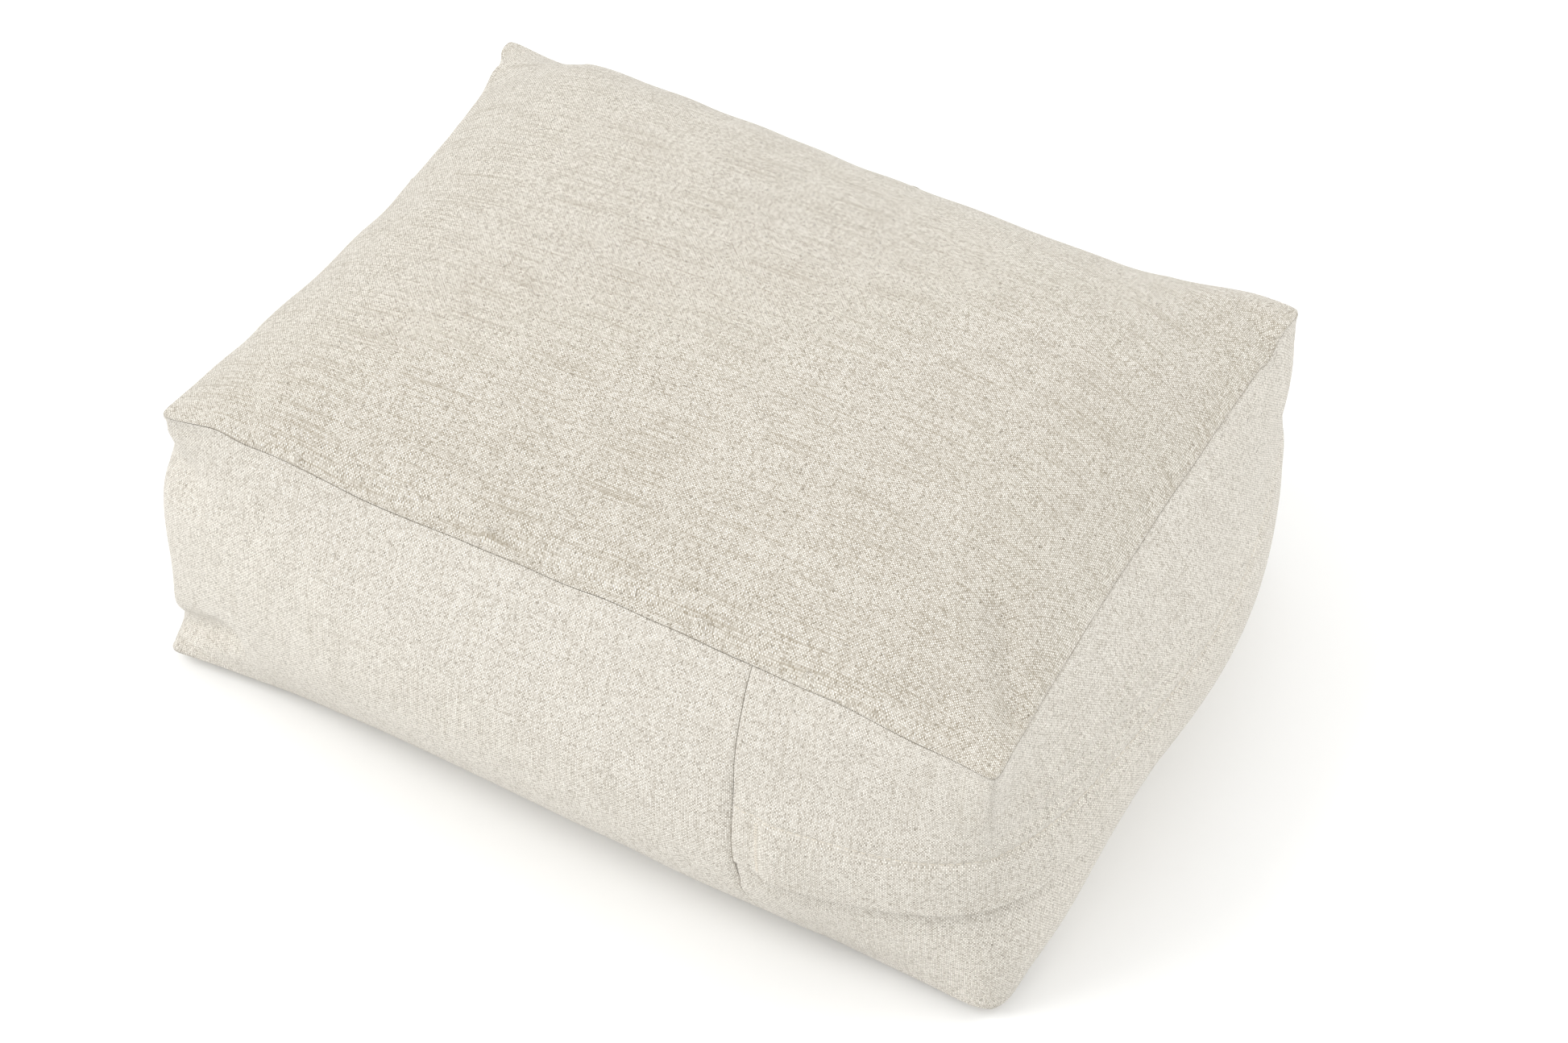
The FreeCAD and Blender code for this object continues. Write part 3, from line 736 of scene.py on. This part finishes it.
def flat_places(first, second, pads):
    """Flat cloth places for a sewn grid, whose hems run on past its edges."""
    hem = np.array(HEM)

    def longer(line, pad):
        start = line[0] - hem[::-1] if pad[0] else []
        end = line[-1] + hem if pad[1] else []
        return np.concatenate([start, line, end])

    a, b = longer(first, pads[0]), longer(second, pads[1])
    return np.stack(np.meshgrid(a, b, indexing="ij"), -1)


# -------- the cover's shape
places, index = puff_up()
top, low, band = shape_cover(*grids_of(places, index))
band_s = np.arange(len(band)) * STEP


def seam_inward(inward, rise):
    """Directions of the hems along a seam of the band: so much inward and so much up."""
    outline = rounded_line(belly_outline(band_s), BELLY_BLUR, rounded_corner(band_s))
    along = unit(np.roll(outline, -1, 0) - np.roll(outline, 1, 0))
    return np.stack([-along[:, 1] * inward, along[:, 0] * inward, np.full(len(along), rise)], -1)


def along_band(values, s):
    """Unit directions at distances s round the band, from those held at its points."""
    at = np.mod(s, ROUND[3]) / STEP
    base = np.floor(at).astype(int)
    t = (at - base)[:, None]
    return unit(values[base % len(values)] * (1 - t) + values[(base + 1) % len(values)] * t)


top_inward, low_inward = seam_inward(*TOP_HEM), seam_inward(*LOW_HEM)
level_outward = seam_inward(-1, 0)


def outward_at(s):
    """Level directions out of the band at distances s round it."""
    return along_band(level_outward, s)


def low_hem(s):
    return along_band(low_inward, s)


def high_hem(s):
    return along_band(top_inward, s)


def slot_hem(s):
    return -SLOT_HEM * outward_at(s)


def allowance(s, up):
    """The soft ridge that the seam allowance raises below the top seam, uneven along it."""
    wave = side_wave(len(band_s), ALLOWANCE_SEED, ALLOWANCE_WAVES, ALLOWANCE_WAVE_LENGTHS)
    uneven = 0.5 + 0.5 * np.interp(np.mod(s, ROUND[3]), band_s, wave)
    below = DROP - up
    rise, place, width = ALLOWANCE_RIDGE
    sink, groove, groove_width = ALLOWANCE_GROOVE
    return np.outer(uneven, rise * ridge(below, place, width) - sink * ridge(below, groove, groove_width))


def flap_relief(s, up):
    """How far the upper gusset stands out: its flap, the topstitching and the creases by the corner."""
    height = up + LOW_SEAM
    past_seam = s - FRONT_SEAM
    stand = FRONT_STAND + (FLAP_STAND - FRONT_STAND) * smooth((s - STAND_PLACE) / STAND_CHANGE)
    stand = stand + PULL_ROOM * ridge(s, PULL_ROOM_PLACE, PULL_ROOM_WIDTH)
    stand = PRESSED + (stand - PRESSED) * smooth((s - FRONT_RISE_START) / FRONT_RISE)
    stand = PRESSED + (stand - PRESSED) * smooth((BACK_SEAM - s) / BACK_RISE)
    out = np.outer(stand, smooth((RELIEF_ROOT - height) / (RELIEF_ROOT - RELIEF_FULL)))
    dip = -STITCH_DIP * ridge(height, FLAP_STITCH, STITCH_DIP_WIDTH)
    out += np.outer(smooth(past_seam / STITCH_DIP_START), dip)
    front = (1 - smooth((s - FRONT_END) / FRONT_FADE)) * smooth(past_seam / ZIP_RIDGE_START)
    out += np.outer(front, ZIP_RIDGE * ridge(height, ZIP_RIDGE_HEIGHT, ZIP_RIDGE_WIDTH))
    near_corner = ridge(s, CREASE_PLACE, CREASE_REACH) * smooth((s - CREASE_START) / CREASE_FADE)
    for number, place in enumerate(CREASES):
        bend = place + CREASE_WAVE * np.sin(s * (CREASE_TURNS + CREASE_MORE_TURNS * number))
        crease = ridge(height[None, :], bend[:, None], CREASE_WIDTH)
        out += near_corner[:, None] * CREASE_RISE * crease
    return out + allowance(s, up)


def lower_relief(s, up):
    """How far the lower gusset sinks towards the zip under the flap."""
    sink = smooth((up + LOW_SEAM - SINK_ROOT) / (LOWER_EDGE - SINK_ROOT))
    return np.outer(np.ones_like(s), -SINK * sink)


def flat_panel(name, sheet, inward, material, flip):
    """The top or the bottom panel."""
    x, y = edge_lines(2 * HALF_X), edge_lines(2 * HALF_Y)
    grid = read_sheet(sheet, x / (2 * HALF_X), y / (2 * HALF_Y))
    hems = (
        (along_band(inward, ROUND[3] - y), along_band(inward, ROUND[0] + y)),
        (along_band(inward, x), along_band(inward, ROUND[2] - x)),
    )
    grid, pads = sewn(grid, (x, y), hems)
    flat = flat_places(x, y, pads)
    if flip:
        grid, flat = grid[::-1], flat[::-1]
    return cloth_piece(name, grid, flat, material)


def band_panel(start, end, low_up, high_up, low_hem, high_hem, shape=None, rows=()):
    """A length of the band from distance start to end round it, between two heights up it.

    low_hem and high_hem give the directions of the hems at distances round the band, or are None.
    """
    s = start + edge_lines(end - start)
    up = edge_lines(high_up - low_up, low_hem is not None, high_hem is not None) + low_up
    up = with_rows(up, rows)
    grid = read_band(band, FINE, s, up / DROP)
    if shape:
        grid = grid + shape(s, up)[..., None] * outward_at(s)[:, None]
    normal = normals_of(grid)
    inward = (
        (-normal[0], -normal[-1]),
        (low_hem(s) if low_hem else None, high_hem(s) if high_hem else None),
    )
    return sewn(grid, (s - start, up - low_up), inward), s, up


def plain_band_piece(name, *panel):
    """A piece of the band that isn't folded under."""
    (grid, pads), s, up = band_panel(*panel)
    return cloth_piece(name, grid, flat_places(s, up, pads), side_linen_painted_lighter)


def folded_under(grid, pads, s, up):
    """Adds the turned-up back of the flap below the upper gusset's lowest row, and gives its flat places."""
    flat = flat_places(s, up, pads)
    columns = np.concatenate([np.full(pads[0][0], s[0]), s, np.full(pads[0][1], s[-1])])
    out = outward_at(columns)[:, None]
    back_rows = np.nonzero(up - up[0] <= FOLD_HEIGHT)[0][::-1]
    back = grid[:, back_rows] - out * 2 * FOLD_RADIUS
    angles = np.linspace(math.pi, 0, FOLD_STEPS)[1:-1]
    turn = [
        grid[:, :1] - out * FOLD_RADIUS * (1 - math.cos(a)) - np.array([0, 0, FOLD_RADIUS * math.sin(a)])
        for a in angles
    ]
    back_flat = up[0] - (up[back_rows] - up[0]) - math.pi * FOLD_RADIUS
    below = np.concatenate([back_flat, up[0] - FOLD_RADIUS * angles])
    more = np.stack(np.broadcast_arrays(flat[:, :1, 0], below[None, :]), -1)
    return np.concatenate([back, *turn, grid], 1), np.concatenate([more, flat], 1)


# -------- materials
class Look:
    """A node material on one Principled shader. Each maker returns its node's output socket."""

    def __init__(self, name, roughness, **constants):
        self.material = bpy.data.materials.new(name)
        self.material.use_nodes = True
        self.tree = self.material.node_tree
        self.shader = self.tree.nodes["Principled BSDF"]
        self.shader.inputs["Roughness"].default_value = roughness
        for socket, value in constants.items():
            self.shader.inputs[socket.replace("_", " ")].default_value = value

    def put(self, socket, value):
        if isinstance(value, bpy.types.NodeSocket):
            self.tree.links.new(value, socket)
        else:
            socket.default_value = value

    def math(self, operation, first, second=0.0):
        node = self.tree.nodes.new("ShaderNodeMath")
        node.operation = operation
        self.put(node.inputs[0], first)
        self.put(node.inputs[1], second)
        return node.outputs[0]

    def add(self, first, second):
        return self.math("ADD", first, second)

    def times(self, first, second):
        return self.math("MULTIPLY", first, second)

    def between(self, amount, first, second):
        """First where amount is 1, second where it is 0."""
        return self.add(self.times(amount, first), self.times(self.math("SUBTRACT", 1.0, amount), second))

    def ramp(self, value, low, high, to_low=0.0, to_high=1.0):
        """Value mapped smoothly from low..high to to_low..to_high."""
        node = self.tree.nodes.new("ShaderNodeMapRange")
        node.interpolation_type = "SMOOTHSTEP"
        for socket, given in zip(node.inputs, (value, low, high, to_low, to_high)):
            self.put(socket, given)
        return node.outputs[0]

    def vector(self, x, y, z=0.0):
        node = self.tree.nodes.new("ShaderNodeCombineXYZ")
        for socket, given in zip(node.inputs, (x, y, z)):
            self.put(socket, given)
        return node.outputs[0]

    def noise(self, vector, scale=1.0, detail=0.0, rough=0.5):
        node = self.tree.nodes.new("ShaderNodeTexNoise")
        self.put(node.inputs["Vector"], vector)
        node.inputs["Scale"].default_value = scale
        node.inputs["Detail"].default_value = detail
        node.inputs["Roughness"].default_value = rough
        return node.outputs["Fac"]

    def random(self, vector):
        node = self.tree.nodes.new("ShaderNodeTexWhiteNoise")
        self.put(node.inputs["Vector"], vector)
        return node.outputs["Value"]

    def mix(self, amount, first, second):
        node = self.tree.nodes.new("ShaderNodeMix")
        node.data_type = "RGBA"
        self.put(node.inputs[0], amount)
        self.put(node.inputs[6], first)
        self.put(node.inputs[7], second)
        return node.outputs[2]

    def coordinates(self, attribute=None, scale=1.0):
        """A stored attribute, or the object's own place, times scale: as a vector and as its parts."""
        if attribute:
            source = self.tree.nodes.new("ShaderNodeAttribute")
            source.attribute_name = attribute
            place = source.outputs["Vector"]
        else:
            place = self.tree.nodes.new("ShaderNodeTexCoord").outputs["Object"]
        node = self.tree.nodes.new("ShaderNodeVectorMath")
        node.operation = "SCALE"
        self.put(node.inputs[0], place)
        node.inputs["Scale"].default_value = scale
        parts = self.tree.nodes.new("ShaderNodeSeparateXYZ")
        self.put(parts.inputs[0], node.outputs[0])
        return node.outputs[0], parts.outputs

    def finish(self, colour, height, distance, strength=1.0):
        """Colours the shader and bumps it by a height of the given distance."""
        bump = self.tree.nodes.new("ShaderNodeBump")
        bump.inputs["Strength"].default_value = strength
        bump.inputs["Distance"].default_value = distance
        self.put(bump.inputs["Height"], height)
        self.put(self.shader.inputs["Normal"], bump.outputs[0])
        self.put(self.shader.inputs["Base Color"], colour)
        return self.material


def wandering(look):
    """Thread numbers across and along the flat cloth, which wander a little."""
    _, place = look.coordinates("flat", 1 / THREAD)
    moved = []
    for value, level in ((place[0], 50.0), (place[1], 90.0)):
        drift = look.noise(look.vector(place[0], place[1], level), scale=WANDER_SCALE, detail=1.0)
        moved.append(look.add(value, look.times(drift, WANDER)))
    return moved


def thread_tone(look, first, second, far):
    """The tone of the threads counted by first, at places second along them. far tells the two sets apart."""
    thread = look.math("FLOOR", first)
    own = look.noise(look.vector(look.times(thread, 3.71), look.times(second, THREAD_DRIFT), far))
    fine = look.noise(look.vector(look.times(thread, 1.37), look.times(second, THREAD_FINE), far + 9))
    return look.add(look.ramp(own, 0.3, 0.7, 0.0, OWN_TONE), look.ramp(fine, 0.3, 0.7, 0.0, FINE_TONE))


# the speck colour darkens the specks and paints shade into the gaps between the threads
def linen(name, dark, speck_and_gap_shade, contrast, slubs):
    """Plain-woven linen with uneven threads, on the flat place of the cloth.

    slubs are the strengths of the streaks along the warp and along the weft.
    """
    look = Look(name, 0.85, Sheen_Weight=0.25, Sheen_Roughness=0.45, Specular_IOR_Level=0.2)
    across, along = wandering(look)
    warp_tone = thread_tone(look, across, along, 0.0)
    weft_tone = look.add(thread_tone(look, along, across, 40.0), WEFT_DARKER)

    # warp and weft take turns on top, and each thread is rounded across and nearly flat along
    wave = [look.math("SINE", look.times(value, math.pi)) for value in (across, along)]
    over = look.ramp(look.times(wave[0], wave[1]), -0.45, 0.05)
    bulge = [look.math("ABSOLUTE", value) for value in wave]
    hump = [look.math("POWER", value, 0.4) for value in bulge]
    full = [look.math("POWER", value, 0.8) for value in bulge]
    height = look.between(over, look.times(full[0], hump[1]), look.times(hump[0], full[1]))

    tone = look.between(over, warp_tone, weft_tone)
    cell = look.random(look.vector(look.math("FLOOR", across), look.math("FLOOR", along)))
    grain = look.noise(look.vector(across, along, 3.0), scale=0.55, detail=2.0, rough=0.7)
    shade = look.add(look.times(tone, TONE_SHARE), look.ramp(cell, 0.40, 1.0, 0.0, CELL_SHARE))
    shade = look.add(shade, look.times(look.ramp(grain, 0.35, 0.65), GRAIN_SHARE))
    base = look.mix(look.times(shade, contrast), LINEN_LIGHT, dark)

    # painted shade in the gaps between the threads, and dark specks
    painted_gap_shade = look.ramp(height, 0.0, 0.55, GAP_SHADE, 0.0)
    base = look.mix(look.times(painted_gap_shade, contrast), base, speck_and_gap_shade)
    dots = look.noise(look.vector(across, along, 17.0), scale=0.42, detail=1.0)
    base = look.mix(look.times(look.ramp(dots, 0.66, 0.74, 0.0, DOT_SHADE), contrast), base, speck_and_gap_shade)

    for first, second, far, strength in ((across, along, 60.0, slubs[0]), (along, across, 80.0, slubs[1])):
        line = look.vector(look.times(first, SLUB_ACROSS), look.times(second, SLUB_ALONG), far)
        streak = look.ramp(look.noise(line, detail=2.0, rough=0.6), 0.50, 0.68, 0.0, strength)
        base = look.mix(streak, base, SLUB_COLOUR)
    return look.finish(base, height, WEAVE_DEPTH, WEAVE_STRENGTH)


def noisy(name, roughness, scale, detail, colours, bump_scale, depth, **constants):
    """A plain material whose colour runs between two by noise, with a fine bump."""
    look = Look(name, roughness, **constants)
    place, _ = look.coordinates()
    colour = look.mix(look.noise(place, scale, detail), *colours)
    return look.finish(colour, look.noise(place, bump_scale, 1.0), depth)


top_linen = linen("linen_top", (0.38, 0.33, 0.255, 1), (0.10, 0.08, 0.05, 1), 1.0, (0.14, 0.48))
# the same linen as the top, painted lighter and with less contrast, standing in for the light that falls on
# the sides
side_linen_painted_lighter = linen("linen_side_painted_lighter", (0.36, 0.315, 0.255, 1), (0.12, 0.10, 0.07, 1), 0.85, (0.20, 0.15))

# -------- the five panels
lower_top, flap_bottom = LOWER_EDGE - LOW_SEAM, FLAP_EDGE - LOW_SEAM
stitch_up = FLAP_STITCH - LOW_SEAM
top_panel = flat_panel("linen_top_panel", top, top_inward, top_linen, False)
bottom_panel = flat_panel("linen_bottom_panel", low, low_inward, side_linen_painted_lighter, True)
boxing = plain_band_piece(
    "linen_boxing_strip", BACK_SEAM, ROUND[3] + FRONT_SEAM, 0, DROP, low_hem, high_hem, allowance
)
gusset_low = plain_band_piece(
    "linen_gusset_lower", FRONT_SEAM, BACK_SEAM, 0, lower_top, low_hem, slot_hem, lower_relief
)
rows = stitch_up + np.array(STITCH_ROWS)
upper, s, up = band_panel(FRONT_SEAM, BACK_SEAM, flap_bottom, DROP, None, high_hem, flap_relief, rows)
gusset_up = cloth_piece("linen_gusset_upper", *folded_under(*upper, s, up), side_linen_painted_lighter, FLAP_SHEET)
for piece, node in (
    (top_panel, "cover_top_panel"),
    (bottom_panel, "cover_bottom_panel"),
    (boxing, "boxing_strip"),
    (gusset_low, "zip_gusset_lower"),
    (gusset_up, "zip_gusset_upper"),
):
    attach(piece, "cushion")
    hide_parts(node)


# -------- stitches
def tube(path, radius, sides=6):
    """Points and faces of a thread along a path, closed at both ends."""
    path = np.asarray(path)
    ahead = unit(np.gradient(path, axis=0))
    side = unit(np.cross(ahead, [0.3, 0.2, 0.93]))
    other = np.cross(ahead, side)
    angles = np.arange(sides) * 2 * math.pi / sides
    rings = path[:, None] + radius * (
        np.cos(angles)[None, :, None] * side[:, None] + np.sin(angles)[None, :, None] * other[:, None]
    )
    number = np.arange(len(path) * sides).reshape(len(path), sides)
    following = np.roll(number, -1, 1)
    faces = np.stack([number[:-1], following[:-1], following[1:], number[1:]], -1).reshape(-1, 4).tolist()
    return rings.reshape(-1, 3), faces + [number[0, ::-1].tolist(), number[-1].tolist()]


def gusset_point(s, up, lift):
    """A place on the upper gusset, raised off it by lift."""
    s, up = np.asarray(s, float), np.asarray(up, float)
    base = np.array([read_band(band, FINE, [a], [b / DROP])[0, 0] for a, b in zip(s, up)])
    relief = np.array([flap_relief(np.array([a]), np.array([b]))[0, 0] for a, b in zip(s, up)])
    return base + (relief + lift)[:, None] * outward_at(s)


def stitch(start, end):
    """One stitch between two (distance, height) places, its ends sunk in the cloth."""
    t = np.linspace(0, 1, STITCH_POINTS)
    lift = STITCH_RADIUS * (STITCH_ARCH * np.sin(math.pi * t) ** 0.5 - STITCH_SUNK)
    s, up = (a + (b - a) * t for a, b in zip(start, end))
    return tube(gusset_point(s, up, lift), STITCH_RADIUS)


def joined(name, parts, material):
    """One mesh object of many loose parts, each a pair of points and faces."""
    points, faces = [], []
    for own_points, own_faces in parts:
        faces += [[index + len(points) for index in face] for face in own_faces]
        points += np.asarray(own_points).tolist()
    mesh = bpy.data.meshes.new(name)
    mesh.from_pydata(points, [], faces)
    mesh.shade_smooth()
    mesh.materials.append(material)
    return shown(name, mesh)


def topstitches():
    """The row of stitches along the top of the flap."""
    first, last = FRONT_SEAM + STITCH_MARGIN, BACK_SEAM - STITCH_MARGIN
    begins = [first + number * STITCH_PITCH for number in range(int((last - first) / STITCH_PITCH))]
    return [stitch((begin, stitch_up), (begin + STITCH_LENGTH, stitch_up)) for begin in begins]


def bar_tack():
    """The zigzag that holds the flap's end beside the upright seam."""
    left, right = TACK_PLACE - TACK_WIDTH / 2, TACK_PLACE + TACK_WIDTH / 2
    bottom, end = flap_bottom + TACK_ABOVE_EDGE, stitch_up - TACK_BELOW_STITCH
    heights = [bottom + number * TACK_PITCH for number in range(int((end - bottom) / TACK_PITCH))]
    return [stitch((left, height), (right, height + TACK_PITCH / 2)) for height in heights]


thread_colours = ((0.74, 0.69, 0.60, 1), (0.60, 0.55, 0.46, 1))
thread = noisy("sewing_thread", 0.7, 900.0, 1.0, thread_colours, 2500.0, 0.0001, Sheen_Weight=0.3)
topstitching = joined("topstitching", topstitches() + bar_tack(), thread)
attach(topstitching, "cushion")
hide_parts("flap_topstitch")


# -------- the padded inner cushion
def inner_cushion(material):
    """The inner cushion as one closed crowned form, a little inside the cover."""
    u, v, up = (np.linspace(0, 1, count) for count in INNER_CELLS)
    ring = read_band(band, FINE, np.arange(0, ROUND[3], INNER_STEP), up)
    ring = np.concatenate([ring, ring[:1]])
    parts = []
    for grid, flip in ((read_sheet(top, u, v), False), (read_sheet(low, u, v), True), (ring, False)):
        faces = grid_faces(*grid.shape[:2])
        points = (grid.reshape(-1, 3) - INNER_CENTRE) * INNER_SHRINK + INNER_CENTRE
        parts.append((points, (faces[:, ::-1] if flip else faces).tolist()))
    piece = joined("inner_cushion", parts, material)
    weld(piece.data, INNER_WELD)
    return piece


cotton_colours = ((0.82, 0.80, 0.76, 1), (0.72, 0.70, 0.66, 1))
case_cotton = noisy("case_cotton", 0.9, 700.0, 2.0, cotton_colours, 1500.0, 0.0002, Sheen_Weight=0.2)
inner = inner_cushion(case_cotton)
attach(inner, "cushion")
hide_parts("inner_case_upper", "inner_case_lower", "fill")


# -------- the zip, whose CAD nodes keep their shape
def woven_tape():
    look = Look("zip_tape_cloth", 0.8, Sheen_Weight=0.3)
    place, parts = look.coordinates()
    rib = look.math("SINE", look.times(parts[2], TAPE_RIBS))
    fleck = look.noise(place, 1400.0, 2.0)
    # the colour runs darker in the valleys between the ribs, which is painted shade; the flecks are the
    # tape's own uneven tone
    shade = look.times(look.add(look.ramp(rib, -1, 1), fleck), 0.5)
    return look.finish(look.mix(shade, (0.60, 0.56, 0.48, 1), (0.74, 0.70, 0.61, 1)), shade, 0.0002)


def wound_coil():
    look = Look("zip_coil_nylon", 0.35, Specular_IOR_Level=0.5)
    _, parts = look.coordinates()
    run = look.add(look.math("ABSOLUTE", parts[0]), look.math("ABSOLUTE", parts[1]))
    shade = look.ramp(look.math("SINE", look.times(run, COIL_TURNS)), -1, 1)
    # the colour runs darker where the bump is low, between the coil's turns: painted shade
    colour = look.mix(shade, (0.42, 0.38, 0.31, 1), (0.72, 0.67, 0.58, 1))
    return look.finish(colour, shade, 0.0005)


def brushed_metal():
    look = Look("zip_metal_nickel", 0.32, Metallic=1.0)
    place, _ = look.coordinates()
    wear = look.noise(place, 500.0, 3.0, 0.6)
    scratch = look.noise(place, 2600.0, 1.0)
    look.put(look.shader.inputs["Roughness"], look.ramp(wear, 0.3, 0.7, 0.25, 0.45))
    return look.finish(look.mix(wear, (0.42, 0.40, 0.37, 1), (0.56, 0.54, 0.50, 1)), scratch, 0.00005)


for look, names in (
    (woven_tape(), ("zip_tape_upper", "zip_tape_lower")),
    (wound_coil(), ("zip_coil_upper", "zip_coil_lower")),
    (
        brushed_metal(),
        ("zip_bottom_stop", "zip_top_stop_upper", "zip_top_stop_lower", "zip_slider", "zip_pull"),
    ),
):
    for name in names:
        for slot in nodes[name].material_slots:
            slot.material = look


# -------- stage, light and camera
def floor_square(half):
    corners = [(-half, -half, 0), (half, -half, 0), (half, half, 0), (-half, half, 0)]
    mesh = bpy.data.meshes.new("floor")
    mesh.from_pydata(corners, [], [(0, 1, 2, 3)])
    return shown("floor", mesh)


floor = floor_square(FLOOR_HALF)
floor_look = Look("floor_paper", 0.9)
floor_place, _ = floor_look.coordinates()
floor_bump = floor_look.noise(floor_place, 300.0, 2.0)
floor.data.materials.append(floor_look.finish((0.93, 0.93, 0.92, 1), floor_bump, 0.0001, 0.2))

world = bpy.data.worlds.new("studio")
world.use_nodes = True
background = world.node_tree.nodes["Background"]
background.inputs["Color"].default_value = (1, 1, 1, 1)
background.inputs["Strength"].default_value = 1.0
bpy.context.scene.world = world
bpy.context.scene.view_settings.view_transform = "Standard"


def softbox(name, place, size, power, target=(0, 0, 0.1)):
    lamp = bpy.data.lights.new(name, "AREA")
    lamp.shape = "DISK"
    lamp.size = size
    lamp.energy = power
    light = bpy.data.objects.new(name, lamp)
    light.location = place
    light.rotation_euler = (Vector(target) - Vector(place)).to_track_quat("-Z", "Y").to_euler()
    bpy.context.scene.collection.objects.link(light)


softbox("key", (-1.6, -1.3, 1.9), 1.8, 34)
softbox("rim", (1.5, 1.1, 1.5), 1.4, 13)


def aim_camera(azimuth, elevation, roll, lens, distance, target):
    """Adds the camera, looking at target from the given side, turned by roll degrees about its own axis."""
    az, el = math.radians(azimuth), math.radians(elevation)
    back = Vector((math.sin(az) * math.cos(el), -math.cos(az) * math.cos(el), math.sin(el)))
    data = bpy.data.cameras.new("camera")
    data.lens = lens
    data.sensor_width = 36
    camera = bpy.data.objects.new("camera", data)
    turn = (-back).to_track_quat("-Z", "Y") @ Quaternion((0, 0, 1), math.radians(roll))
    camera.rotation_mode = "QUATERNION"
    camera.rotation_quaternion = turn
    camera.location = Vector(target) + back * distance
    bpy.context.scene.collection.objects.link(camera)
    bpy.context.scene.camera = camera


aim_camera(
    azimuth=28.20, elevation=45.70, roll=0.70, lens=72.60, distance=1.3900, target=(0.0304, -0.0052, 0.0750)
)
